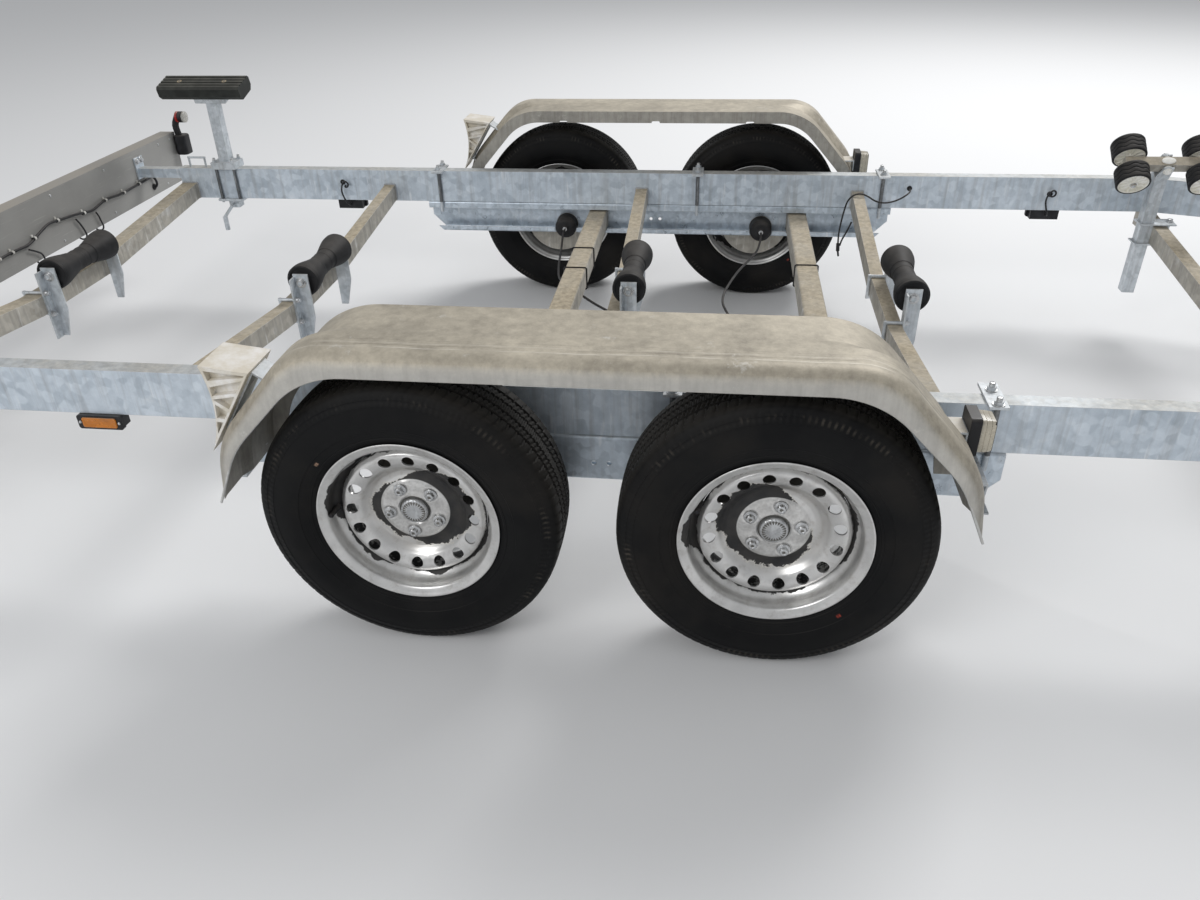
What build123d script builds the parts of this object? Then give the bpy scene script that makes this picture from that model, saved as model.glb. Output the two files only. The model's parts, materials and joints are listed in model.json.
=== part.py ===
from build123d import *
import os
from math import cos, pi, radians, sin, tan

# Tandem-axle boat trailer with a V-shaped drawbar, standing on its wheels and its jockey wheel.
# +X points to the coupling, +Y to the trailer's left, +Z up, and Z = 0 is the ground.
# Lengths along X in the tables below are measured from the point midway between the two axles.
AXLE_X = -1149.5         # where that point lies in the part's own frame

# Main rails: rectangular tube that runs straight, then turns inwards to the coupling
RAIL_TOP = 520.0
RAIL_HEIGHT = 115.0
RAIL_WIDTH = 45.0
RAIL_WALL = 4.0
RAIL_Y = 843.5           # centre of each parallel rail from the middle
RAIL_REAR = -1860.0
RAIL_BEND = 1742.0
RAIL_FRONT = 4010.0
DRAWBAR_ANGLE = 18.0     # degrees that each rail turns inwards
RAIL_BOTTOM = RAIL_TOP - RAIL_HEIGHT
RAIL_INNER = RAIL_Y - RAIL_WIDTH / 2
RAIL_OUTER = RAIL_Y + RAIL_WIDTH / 2

# Crossmembers: a flat middle and two arms that rise to the rails
BEAM_DEPTH = 57.0
BEAM_FLAT = 205.0        # half length of the flat middle
CROSSMEMBERS = [
    # x, width along x, top at the middle, top at the rail, half length
    (-1828.0, 60.0, 403.0, 464.0, RAIL_INNER),
    (-1016.0, 40.0, 403.0, 466.0, RAIL_INNER),
    (-49.0, 42.0, 388.0, 464.0, RAIL_INNER),
    (733.0, 40.0, 385.0, 464.0, RAIL_INNER),
    (1742.0, 45.0, 334.0, RAIL_BOTTOM, RAIL_OUTER),
]
DRAWBAR_BEAM_X = 3050.0
DRAWBAR_BEAM_WIDTH = 70.0
DRAWBAR_BEAM_Z = (430.0, 490.0)

# Running gear
WHEEL_X = 376.0          # each axle's wheels from the point midway between them
WHEEL_RADIUS = 321.0
WHEEL_Y = 1038.0         # middle of the tyre
TYRE_WIDTH = 186.0
BEAD_RADIUS = 178.0
FLANGE_RADIUS = 195.0
RIM_HALF_WIDTH = 81.5
HUB_Y = 1066.0           # outer side of the rim's disc at the wheel bolts
CAP_RADIUS = 29.0
CAP_OUT = 37.0           # how far the grease cap stands out from the tyre's middle
DRUM_RADIUS = 118.0
BOLT_CIRCLE = 56.0       # radius
BOLTS = 5
BOLT_RADIUS = 7.0
BOLT_HEAD = 9.5
VENTS = 16
VENT_CIRCLE = 131.0
VENT_RADIUS = 13.0
AXLE_TUBE = 70.0
AXLE_TUBE_Z = 338.0
AXLES = [
    # wheel x, tube x
    (-WHEEL_X, -217.0),
    (WHEEL_X, 527.0),
]
WHEELS = [
    # name, x, side, degrees in side view that its bolts and its vent holes start at
    ("rear_left", -WHEEL_X, 1, 20.0, 5.0),
    ("rear_right", -WHEEL_X, -1, -98.0, -3.0),
    ("front_left", WHEEL_X, 1, 50.0, 0.0),
    ("front_right", WHEEL_X, -1, 79.0, 8.2),
]
RIM_SHEET = 4.0
DRUM_INNER = 911.0       # brake drum's open side, from the middle of the trailer
STUB_RADIUS = 22.0
STUB_END = 948.0
ARM_OUTER = 898.0        # outer side of the trailing arms
SIDES = [("left", 1), ("right", -1)]

# Channels below the rails that carry the axles
CARRIER_X = (-870.0, 860.0)
CARRIER_Z = 290.0
CARRIER_CHAMFER = 50.0
CARRIER_SHEET = 4.0
CARRIER_BEND = 8.0
CARRIER_PROUD = 5.0      # how far the channel stands out from the rail
CARRIER_TOP_LIP = 25.0
CARRIER_LOW_LIP = 19.0
CARRIER_HOLES = ((-17.0, 335.0), (17.0, 335.0))
CARRIER_HOLE = 6.0
BOOT_X = (-341.0, 398.0)
BOOT_Z = 311.0
BOOT_RADIUS = 40.0
BOOT_TIP = 24.0          # how far a boot stands in from the rail
CLAMP_X = (-817.0, 157.0, 818.0)
CLAMP_HALF = 20.0
CLAMP_PLATE = 6.0
CLAMP_ROD = 6.0
CLAMP_ROD_FOOT = 368.0
CLAMP_NUT = 10.0

# Box below the front axle where the four brake cables meet the one from the coupling
EQUALISER_X = (488.0, 566.0)
EQUALISER_Y = (-470.0, -350.0)
EQUALISER_Z = 250.0

# Cables and leads
BRAKE_CABLE_RADIUS = 4.0
PULL_CABLE_RADIUS = 5.0
MARKER_LEAD_RADIUS = 3.0
HARNESS_RADIUS = 4.5
DROP_RADIUS = 3.0
LEAD_RADIUS = 3.0
TAIL_RADIUS = 3.0

# Fenders
FENDER_Y = (905.0, 1150.0)
FENDER_TOP = 722.0
FENDER_SHEET = 3.0
FENDER_ROLL = 34.0       # radius of the rolled outer edge
FENDER_CROWN_Y = 1045.0  # inner side of the raised outer part
FENDER_PAN_Y = 1015.0    # outer side of the lower inner part
FENDER_CROWN = [
    # side view of the raised outer part: x of a corner, z, and the radius of its bend
    (556.0, FENDER_TOP, 150.0),
    (744.0, 510.0, 210.0),
    (762.0, 372.0, 0.0),
]
FENDER_PAN = [
    # the same for the lower inner part
    (530.0, FENDER_TOP - 2, 200.0),
    (732.0, 496.0, 230.0),
    (750.0, 372.0, 0.0),
]
FENDER_EDGE = [
    # the same for the lower edge of the side walls, which run out to a point at each end
    (530.0, 674.0, 200.0),
    (700.0, 500.0, 250.0),
    (757.0, 372.0, 0.0),
]
FENDER_FLANGE = 40.0     # height of the inner side wall
FENDER_SLOTS = ((-347.0, 681.0), (-5.0, 681.0), (337.0, 681.0))
FENDER_SLOT = (30.0, 11.0)
FENDER_GAP = 0.3         # between a fender and what stands on it

STAY_X = 795.0
STAY_Z = (318.0, 400.0)
STAY_SHEET = 4.0
CHOCK_Y = 1055.0
CHOCK_HALF = 55.0
# Chocks and their holders in side view: along a line up the fender's rear leg, and out from it
CHOCK_FOOT = (-745.0, 402.0)
CHOCK_ANGLE = 57.5
HOLDER_ALONG = (100.0, 254.0)
HOLDER_OUT = 57.8
HOLDER_SHEET = 4.0
HOLDER_HALF = 32.0
CHOCK_TIP = (50.0, 58.0)
CHOCK_TOP = ((221.0, 149.0), (264.0, 58.0))
CHOCK_CRADLE = (144.0, 87.0)
CHOCK_POCKETS = [
    # corners of each hollow between a chock's ribs
    [(202, 121), (217, 136), (254, 63), (250, 63)],
    [(190, 113), (174, 102), (209, 63), (241, 63)],
    [(167, 98), (165, 63), (199, 63)],
    [(159, 91), (157, 63), (138, 63), (131, 77)],
    [(122, 74), (128, 63), (96, 63)],
]
POCKET_DEPTH = 14.0
LAMP_Y = 988.0
LAMP_Z = 526.0
LAMP_X = (729.0, 750.0, 779.0)
LAMP_BLOCKS = [
    # rear, front, (width, height), corner radius and taper of a lamp's black back and of its lens
    (LAMP_X[0], LAMP_X[1], (66.0, 84.0), 8.0, 0.0),
    (LAMP_X[1], LAMP_X[2], (56.0, 71.0), 10.0, 4.0),
]
LAMP_STRIP_Z = (534.0, 538.0)
LAMP_STRIP_HALF = 31.0
MARKER_X = (-1190.0, 1400.0)

# Keel rollers, each just in front of its crossmember
ROLLER_Z = 456.0
ROLLER_RADIUS = 48.0
ROLLER_NECK = 31.0
ROLLER_HALF = 145.0
ROLLER_AHEAD = 22.0
PIN_RADIUS = 10.0
PIN_GAP = 0.08
EAR_Y = 152.0            # inner side of each ear
EAR_WIDTH = 45.0
EAR_SHEET = 5.0
EAR_FLANGE = 35.0
EAR_TOP = 482.0
EAR_DROP = 86.0          # from the crossmember's underside to the ear's lower end, at least
U_BOLT_RADIUS = 5.0

# Rocker with two pairs of small wheels, on a post at the front crossmember
HEAD_TILT = 38.0
HEAD_X = 1699.5
HEAD_Y = 692.0
HEAD_Z = 605.0
HEAD_DROP = 45.0
POST_SIDE = 40.0
POST_Y = 720.0
POST_FOOT = 150.0
ROCKER_REACH = 113.0
ROCKER_HALF_WIDTH = 17.0
ROCKER_WHEEL_RADIUS = 52.5
ROCKER_WHEEL_WIDTH = 62.0
ROCKER_WHEEL_INNER = 22.0
ROCKER_AXLE_RADIUS = 8.0

# Side pads
PAD_X = -1692.0
PAD_LENGTH = 320.0
PAD_WIDTH = 104.0
PAD_THICK = 52.0
PAD_Y = 846.0
PAD_Z = 812.0
PAD_TILT = 16.0
PAD_POST_X = -1668.0
PAD_ROD_X = (PAD_POST_X - 36, PAD_POST_X + 36)
PAD_GROOVES = (-30.0, -10.0, 10.0, 30.0)

# Light board and its two arms
BOARD_X = -2040.0        # front face of the board
BOARD_DEPTH = 60.0
BOARD_Z = (387.0, 582.0)
BOARD_HALF = 1148.0
BOARD_SHEET = 3.0
PLATE_HALF = 270.0       # raised seat for a number plate on the board's rear
PLATE_Z = (424.0, 546.0)
PLATE_BACK = 3.0
ARM_WIDTH = 35.0
ARM_Z = (480.0, 515.0)
ARM_INSIDE_X = -1420.0
ARM_PLATE = 5.0
ARM_BOLT_Z = 542.0
LOCK_X = -1790.0
TAIL_LAMP_Y = 960.0

# Coupling, jockey wheel and winch
HOUSING_X = (3690.0, 4070.0)
HOUSING_Z = (418.0, 514.0)
HOUSING_HALF = 46.0
GAITER_LENGTH = 130.0
DRAW_Z = 468.0
BALL_X = 4360.0
BALL_Z = 446.0
BALL_RADIUS = 25.0
JACK_X = 3760.0
JACK_Y = -262.0
JACK_TUBE = 30.0
JACK_LEG = 25.0
JACK_TUBE_Z = (400.0, 880.0)
JACK_WHEEL_RADIUS = 100.0
JACK_WHEEL_HALF = 28.0
JACK_TRAIL = 42.0
JACK_FORK_Z = (206.0, 215.0)
JACK_FORK_HALF = 40.0
JACK_FORK_SHEET = 6.0
JACK_AXLE = 8.0
WINCH_X = 3050.0
WINCH_POST_TOP = 930.0
WINCH_AXIS_Z = 1004.0
WINCH_HALF = 58.0
DRUM_X = -22.0           # axes of the winch's drum and crank, from its post
DRUM_AXLE = 10.0
CRANK_X = 34.0
CRANK_DROP = 44.0

os.makedirs("parts", exist_ok=True)


def save(piece, name):
    """Name a finished piece and write it to its own file."""
    piece.part.label = name
    export_step(piece.part, f"parts/{name}.step")


def side(y):
    """Upright plane along the trailer at y: its coordinates are (x from the axles, z)."""
    return Plane(origin=(AXLE_X, y, 0), x_dir=(1, 0, 0), z_dir=(0, -1, 0))


def across(x):
    """Upright plane across the trailer at x from the axles: its coordinates are (y, z)."""
    return Plane(origin=(AXLE_X + x, 0, 0), x_dir=(0, 1, 0), z_dir=(1, 0, 0))


def level(z):
    """Level plane at height z: its coordinates are (x from the axles, y)."""
    return Plane(origin=(AXLE_X, 0, z), x_dir=(1, 0, 0), z_dir=(0, 0, 1))


def bar(plane, low, high, depth):
    """Rectangle from corner low to corner high on a plane, pushed out by depth."""
    with BuildSketch(plane) as face:
        Polygon(low, (high[0], low[1]), high, (low[0], high[1]))
    extrude(face.sketch, amount=depth)


def rod(start, end, radius):
    """Round bar between two points given as (x from the axles, y, z)."""
    a = Vector(AXLE_X + start[0], start[1], start[2])
    b = Vector(AXLE_X + end[0], end[1], end[2])
    with BuildSketch(Plane(origin=a, z_dir=b - a)) as face:
        Circle(radius)
    extrude(face.sketch, amount=(b - a).length)


def turned(x, z, profile, mode=Mode.ADD):
    """Solid turned about the line across the trailer at (x, z), from a profile of (radius, y)."""
    with BuildSketch(Plane(origin=(AXLE_X + x, 0, z), x_dir=(1, 0, 0), z_dir=(0, 0, 1))) as face:
        Polygon(*profile)
    revolve(face.sketch, axis=Axis((AXLE_X + x, 0, z), (0, 1, 0)), mode=mode)


def drawbar_y(x):
    """Centre line of a rail in front of the bend, from the middle."""
    return RAIL_Y - (x - RAIL_BEND) * tan(radians(DRAWBAR_ANGLE))


# Main rails
def rail_plan(s, half, rear, front):
    """Plan of one rail as a strip of the given half width, turned inwards at the bend."""
    turn = half * tan(radians(DRAWBAR_ANGLE / 2))
    slant = half / cos(radians(DRAWBAR_ANGLE))
    Polygon(
        (rear, s * (RAIL_Y + half)),
        (RAIL_BEND + turn, s * (RAIL_Y + half)),
        (front, s * (drawbar_y(front) + slant)),
        (front, s * (drawbar_y(front) - slant)),
        (RAIL_BEND - turn, s * (RAIL_Y - half)),
        (rear, s * (RAIL_Y - half)),
    )


for side_name, s in SIDES:
    with BuildPart() as rail:
        with BuildSketch(level(RAIL_BOTTOM)):
            rail_plan(s, RAIL_WIDTH / 2, RAIL_REAR, RAIL_FRONT)
        extrude(amount=RAIL_HEIGHT)
        with BuildSketch(level(RAIL_BOTTOM + RAIL_WALL)):
            rail_plan(s, RAIL_WIDTH / 2 - RAIL_WALL, RAIL_REAR - 10, RAIL_FRONT + 10)
        extrude(amount=RAIL_HEIGHT - 2 * RAIL_WALL, mode=Mode.SUBTRACT)
    save(rail, f"rail_{side_name}")

# Crossmembers
with BuildPart() as crossmembers:
    for x, width, middle, end, half in CROSSMEMBERS:
        seat = RAIL_INNER if half > RAIL_INNER else half
        with BuildSketch(across(x - width / 2)):
            top = [(-half, end), (-seat, end), (-BEAM_FLAT, middle), (BEAM_FLAT, middle), (seat, end),
                   (half, end)]
            points = [p for i, p in enumerate(top) if i == 0 or p != top[i - 1]]
            Polygon(*points, *[(y, z - BEAM_DEPTH) for y, z in reversed(points)])
        extrude(amount=width)
    with BuildSketch(level(DRAWBAR_BEAM_Z[0])):
        ends = [DRAWBAR_BEAM_X - DRAWBAR_BEAM_WIDTH / 2, DRAWBAR_BEAM_X + DRAWBAR_BEAM_WIDTH / 2]
        reach = [drawbar_y(x) - RAIL_WIDTH / 2 / cos(radians(DRAWBAR_ANGLE)) for x in ends]
        Polygon((ends[0], -reach[0]), (ends[1], -reach[1]), (ends[1], reach[1]), (ends[0], reach[0]))
    extrude(amount=DRAWBAR_BEAM_Z[1] - DRAWBAR_BEAM_Z[0])
save(crossmembers, "crossmembers")

# Channels that carry the axles, folded from sheet and bolted under the rails
with BuildPart() as carriers:
    rear, front = CARRIER_X
    outer = RAIL_OUTER + CARRIER_PROUD
    wide, high = outer - RAIL_INNER, RAIL_BOTTOM - CARRIER_Z
    gap = high - CARRIER_TOP_LIP - CARRIER_LOW_LIP
    with BuildSketch(across(rear)):
        with Locations((outer - wide / 2, CARRIER_Z + high / 2)):
            RectangleRounded(wide, high, CARRIER_BEND)
            RectangleRounded(wide - 2 * CARRIER_SHEET, high - 2 * CARRIER_SHEET, CARRIER_BEND - CARRIER_SHEET,
                             mode=Mode.SUBTRACT)
        with Locations((RAIL_INNER, CARRIER_Z + CARRIER_LOW_LIP + gap / 2)):
            Rectangle(3 * CARRIER_SHEET, gap, mode=Mode.SUBTRACT)
    extrude(amount=front - rear)
    with BuildSketch(side(outer + 1)):
        for end, cut in ((rear, CARRIER_CHAMFER), (front, -CARRIER_CHAMFER)):
            Polygon((end, CARRIER_Z), (end + cut, CARRIER_Z), (end, CARRIER_Z + CARRIER_CHAMFER))
        for x in BOOT_X:
            with Locations((x, BOOT_Z)):
                Circle(BOOT_RADIUS + 2)
        for wheel_x, tube_x in AXLES:
            with Locations((tube_x, AXLE_TUBE_Z)):
                Rectangle(AXLE_TUBE + 1, AXLE_TUBE + 1)
        with Locations(*CARRIER_HOLES):
            Circle(CARRIER_HOLE)
    extrude(amount=wide + 2, mode=Mode.SUBTRACT)
    mirror(about=Plane.XZ)
save(carriers, "axle_carriers")

# Axles
with BuildPart() as tubes:
    for wheel_x, tube_x in AXLES:
        with BuildSketch(side(RAIL_OUTER + 6)):
            with Locations((tube_x, AXLE_TUBE_Z)):
                RectangleRounded(AXLE_TUBE, AXLE_TUBE, 10)
        extrude(amount=2 * (RAIL_OUTER + 6))
    bar(across(EQUALISER_X[0]), (EQUALISER_Y[0], EQUALISER_Z), (EQUALISER_Y[1], AXLE_TUBE_Z - AXLE_TUBE / 2),
        EQUALISER_X[1] - EQUALISER_X[0])
save(tubes, "axle_tubes")

with BuildPart() as arms:
    for wheel_x, tube_x in AXLES:
        with BuildSketch(side(ARM_OUTER)):
            with Locations((tube_x, AXLE_TUBE_Z)):
                Circle(44)
            with Locations((wheel_x, WHEEL_RADIUS)):
                Circle(37)
            make_hull()
        extrude(amount=ARM_OUTER - RAIL_OUTER - 6)
        rod((wheel_x, ARM_OUTER, WHEEL_RADIUS), (wheel_x, STUB_END, WHEEL_RADIUS), STUB_RADIUS)
        rod((wheel_x, ARM_OUTER + 2, WHEEL_RADIUS), (wheel_x, ARM_OUTER + 8, WHEEL_RADIUS), DRUM_RADIUS + 9)
    mirror(about=Plane.XZ)
save(arms, "trailing_arms")

with BuildPart() as boots:
    for x in BOOT_X:
        turned(x, BOOT_Z, [(r, RAIL_INNER + y) for r, y in [
            # radius, distance outwards from the rail's inner side
            (0, RAIL_WIDTH + CARRIER_PROUD), (BOOT_RADIUS, RAIL_WIDTH + CARRIER_PROUD), (BOOT_RADIUS, -2),
            (BOOT_RADIUS - 5, -9), (BOOT_RADIUS - 16, -15), (10, -18), (8, -BOOT_TIP), (0, -BOOT_TIP),
        ]])
    mirror(about=Plane.XZ)
save(boots, "brake_boots")


# Cables
def cable(points, radius, name):
    """Tube of straight runs joined by arcs; each arc is as large as its two runs allow."""
    runs = [Vector(AXLE_X + x, y, z) for x, y, z in points]
    radii = []
    for before, corner, after in zip(runs, runs[1:], runs[2:]):
        turn = radians((corner - before).get_angle(after - corner))
        shorter = min((corner - before).length, (after - corner).length)
        radii.append(0.45 * shorter / tan(turn / 2))
    with BuildLine() as path:
        FilletPolyline(*runs, radius=radii)
    with BuildSketch(Plane(origin=runs[0], z_dir=runs[1] - runs[0])) as section:
        Circle(radius)
    tube = sweep(section.sketch, path=path.wires()[0], mode=Mode.PRIVATE)
    length = path.wires()[0].length
    full = tube.volume / (length * pi * radius**2)
    print(f"{name}: {length:.0f} mm, smallest radius {min(radii):.0f}, {full:.3f} full")
    print("  radii", [round(r) for r in radii])
    return tube


TIP_Y = RAIL_INNER - BOOT_TIP - 0.3
BRAKE_CABLES = {
    # from a boot's tip to the equaliser: x from the axles, y, z
    "rear left": [
        (BOOT_X[0], TIP_Y, BOOT_Z), (BOOT_X[0], 752, 307), (-340, 690, 266), (-334, 590, 250), (-316, 470, 251),
        (-290, 375, 270), (-252, 290, 290), (-205, 215, 292), (-150, 155, 284), (-60, 85, 270), (60, -30, 262),
        (200, -190, 260), (330, -320, 266), (430, -396, 276), (EQUALISER_X[0] - 0.3, -398, 276),
    ],
    "front left": [
        (BOOT_X[1], TIP_Y, BOOT_Z), (BOOT_X[1], 752, 307), (386, 700, 276), (352, 625, 264), (318, 545, 259),
        (290, 450, 254),
        (268, 360, 249), (262, 285, 245), (278, 210, 241), (305, 125, 243), (322, 30, 247), (336, -75, 251),
        (352, -180, 257), (374, -285, 265), (430, -368, 275), (EQUALISER_X[0] - 0.3, -370, 276),
    ],
    "rear right": [
        (BOOT_X[0], -TIP_Y, BOOT_Z), (BOOT_X[0], -752, 307), (-312, -704, 276), (-250, -660, 256),
        (-150, -622, 254),
        (-30, -590, 258), (100, -560, 262), (230, -520, 265), (350, -465, 270), (430, -426, 276),
        (EQUALISER_X[0] - 0.3, -424, 276),
    ],
    "front right": [
        (BOOT_X[1], -TIP_Y, BOOT_Z), (BOOT_X[1], -752, 307), (378, -706, 274), (348, -648, 252), (338, -580, 252),
        (356, -520, 258), (400, -470, 268), (440, -452, 276), (EQUALISER_X[0] - 0.3, -450, 276),
    ],
}
PULL_CABLE = [
    # from the equaliser, up to the right rail's inner side and along it to the coupling
    (EQUALISER_X[1] + 0.3, -410, 276), (640, -412, 275), (760, -466, 266), (900, -560, 280), (1050, -650, 312),
    (1210, -728, 352), (1380, -780, 394), (1560, -804, 424), (1740, -800, 432), (1920, -750, 426),
    (3380, -275, 414),
    (3500, -226, 420), (3590, -120, 438), (3636, -32, 450), (HOUSING_X[0] - 0.3, -30, 451),
]
MARKER_LEAD = [
    # from a side marker, up and into the rail: x from the marker, y, z
    (3, 833.7, 386), (3, 818, 386), (0, 806, 396), (-10, 803, 418), (-17, 804, 444), (-10, 805, 470),
    (4, 804, 482),
    (14, 805, 474), (12, 806, 461), (2, 807, 457), (-3, 812, 460), (-3, RAIL_INNER - 0.3, 460),
]
with BuildPart() as cables:
    for name, route in BRAKE_CABLES.items():
        add(cable(route, BRAKE_CABLE_RADIUS, name))
    add(cable(PULL_CABLE, PULL_CABLE_RADIUS, "pull"))
    for marker_x in MARKER_X:
        add(cable([(marker_x + x, y, z) for x, y, z in MARKER_LEAD], MARKER_LEAD_RADIUS, "marker left"))
        add(cable([(marker_x + x, -y, z) for x, y, z in MARKER_LEAD], MARKER_LEAD_RADIUS, "marker right"))
save(cables, "clipped_cables")

# Lead that comes out of the left rail and hangs over the mid front crossmember, with its open splice
LOOSE_LEAD = [
    (914, 818, 477), (914, 798, 477), (909, 779, 475), (896, 763, 469), (875, 754, 458), (849, 753, 447),
    (819, 757, 441), (790, 763, 446), (766, 768, 461), (740, 771, 471), (714, 772, 465), (696, 773, 444),
    (689, 773, 414), (684, 774, 380), (680, 774, 344), (678, 774, 312), (680, 774, 284),
]
SPLICE_TAIL = [(687, 774, 276), (692, 774, 298), (703, 774, 322), (712, 774, 344), (719, 774, 366)]
with BuildPart() as loose_lead:
    add(cable(LOOSE_LEAD, LEAD_RADIUS, "loose lead"))
save(loose_lead, "loose_lead")

with BuildPart() as plugs:
    rod((914, RAIL_INNER, 477), (914, 818, 477), 9)
    end = LOOSE_LEAD[-1]
    rod((end[0], end[1], end[2] - 0.2), (682, 774, 256), 6.5)
    rod((682, 774, 257), (686, 774, 236), 3.5)
    add(cable(SPLICE_TAIL, TAIL_RADIUS, "splice tail"))
save(plugs, "lead_plugs")

# Leads across the front of the light board, held by clips, with drops to the lamps
HARNESS_X = BOARD_X + 9
HARNESS = [
    # left half, from the grommet beside the lamp to the middle: in front of the board, y, z
    (0.3, 906, 420), (9, 906, 420), (15, 908, 429), (14, 911, 441), (9, 911, 454), (9, 899, 464), (9, 880, 465),
    (9, 851, 463), (9, 745, 461), (9, 660, 460), (9, 592, 468), (9, 541, 466), (9, 478, 454), (9, 389, 471),
    (9, 328, 477),
    (9, 236, 487), (9, 194, 476), (9, 112, 453), (9, 65, 457), (9, 0, 458),
]
DROPS = [
    # from the leads down the board and under its lower edge: y, z at the top, y, z lower down
    (496, 444, 509, 408),
    (378, 456, 404, 410),
    (108, 440, 160, 408),
]
with BuildPart() as harness:
    add(cable([(BOARD_X + x, y, z) for x, y, z in HARNESS], HARNESS_RADIUS, "harness"))
    for top_y, top_z, y, z in DROPS:
        add(cable([
            (HARNESS_X, top_y, top_z), (HARNESS_X, (top_y + y) / 2 + 3, (top_z + z) / 2), (HARNESS_X, y, z),
            (HARNESS_X, y + 6, z - 20), (HARNESS_X - 6, y + 8, z - 34), (HARNESS_X - 20, y + 7, z - 40),
            (HARNESS_X - 32, y + 5, z - 34), (HARNESS_X - 32, y + 5, BOARD_Z[0] - 0.3),
        ], DROP_RADIUS, "drop"))
    mirror(about=Plane.XZ)
save(harness, "board_harness")


# Road wheels
def tyre(x, s):
    """Tyre as a ring about the wheel's axis, with rounded shoulders and full side walls."""
    wall = [
        # radius, offset from the tyre's middle, from the tread to the bead
        (WHEEL_RADIUS, 58), (WHEEL_RADIUS - 3, 70), (WHEEL_RADIUS - 13, 80), (WHEEL_RADIUS - 33, 87),
        (256, TYRE_WIDTH / 2), (228, TYRE_WIDTH / 2 - 3), (201, 78), (BEAD_RADIUS + 0.5, 72),
    ]
    with BuildPart() as piece:
        turned(x, WHEEL_RADIUS, [(r, s * WHEEL_Y + o) for r, o in wall]
               + [(r, s * WHEEL_Y - o) for r, o in wall[::-1]])
    return piece


def rim(x, s, bolt_angle, vent_angle):
    """Pressed steel rim: a barrel with two flanges, and a dished disc with a ring of vent holes."""
    barrel = [
        # radius, offset outwards from the tyre's middle
        (FLANGE_RADIUS, RIM_HALF_WIDTH), (BEAD_RADIUS, RIM_HALF_WIDTH - 9), (BEAD_RADIUS - 2, 42),
        (160, 30), (160, -20), (BEAD_RADIUS - 2, -44), (BEAD_RADIUS, 9 - RIM_HALF_WIDTH),
        (FLANGE_RADIUS, -RIM_HALF_WIDTH),
    ]
    disc = [(33, 24), (76, 24), (92, 16), (112, 36), (140, 42), (157, 30)]
    with BuildPart() as piece:
        turned(x, WHEEL_RADIUS, [(r, s * (WHEEL_Y + o)) for r, o in barrel]
               + [(r - RIM_SHEET, s * (WHEEL_Y + o)) for r, o in barrel[::-1]])
        turned(x, WHEEL_RADIUS, [(r, s * (WHEEL_Y + o)) for r, o in disc]
               + [(r, s * (WHEEL_Y + o + RIM_SHEET)) for r, o in disc[::-1]])
        with BuildSketch(side(s * (WHEEL_Y + 60))):
            with Locations((x, WHEEL_RADIUS)):
                with PolarLocations(VENT_CIRCLE, VENTS, start_angle=vent_angle):
                    Circle(VENT_RADIUS)
                with PolarLocations(BOLT_CIRCLE, BOLTS, start_angle=bolt_angle):
                    Circle(BOLT_RADIUS + 0.5)
        extrude(amount=s * 50, mode=Mode.SUBTRACT)
    return piece


def hub(x, s, bolt_angle):
    """Brake drum and hub with five wheel bolts and a low grease cap."""
    profile = [
        # radius, offset outwards from the tyre's middle
        (0, -126), (DRUM_RADIUS - 2, -126), (DRUM_RADIUS, -120), (DRUM_RADIUS, -52), (DRUM_RADIUS - 10, -44),
        (60, -44), (60, 23), (CAP_RADIUS, 23), (CAP_RADIUS, CAP_OUT - 7), (CAP_RADIUS - 5, CAP_OUT - 1),
        (0, CAP_OUT),
    ]
    with BuildPart() as piece:
        turned(x, WHEEL_RADIUS, [(r, s * (WHEEL_Y + o)) for r, o in profile])
        turned(x, WHEEL_RADIUS, [(r, s * y) for r, y in
                                 ((0, DRUM_INNER), (STUB_RADIUS + 1, DRUM_INNER), (STUB_RADIUS + 1, STUB_END + 2),
                                  (0, STUB_END + 2))], mode=Mode.SUBTRACT)
        for y, size, depth in ((HUB_Y - 10, 0, 12), (HUB_Y + 0.5, BOLT_HEAD, 10)):
            with BuildSketch(side(s * y)):
                with Locations((x, WHEEL_RADIUS)):
                    with PolarLocations(BOLT_CIRCLE, BOLTS, start_angle=bolt_angle):
                        if size:
                            RegularPolygon(size, 6)
                        else:
                            Circle(BOLT_RADIUS)
            extrude(amount=-s * depth)
    return piece


for name, x, s, bolt_angle, vent_angle in WHEELS:
    save(tyre(x, s), f"tyre_{name}")
    save(rim(x, s, bolt_angle, vent_angle), f"rim_{name}")
    save(hub(x, s, bolt_angle), f"hub_{name}")


# Fenders: one pressed sheet over both wheels of a side
def side_corner(before, corner, after, inset):
    """Corner of a line in side view, moved inwards so that both its runs lie inset further in."""
    first, second = (corner - before).normalized(), (after - corner).normalized()
    inwards = Vector(first.Y + second.Y, -first.X - second.X)
    return corner + inwards * (inset / (1 + first.dot(second)))


def fender_area(table, inset=0.0, below=0.0):
    """Area under a line of the fender in side view, moved inwards by inset and carried on below its ends."""
    points = [Vector(0, table[0][1])] + [Vector(x, z) for x, z, bend in table]
    run = (points[-1] - points[-2]).normalized()
    points.append(points[-1] + run)
    front = [side_corner(*points[i - 1:i + 2], inset) for i in range(1, len(points) - 1)]
    front[-1] += run * below
    bends = [bend - inset for x, z, bend in table[:-1]]
    with BuildLine() as arch:
        sheet = FilletPolyline(*[(-p.X, p.Y) for p in front[::-1]], *[(p.X, p.Y) for p in front],
                               radius=bends[::-1] + bends)
        Line(sheet @ 0, sheet @ 1)
    make_face(arch.edges())


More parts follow.
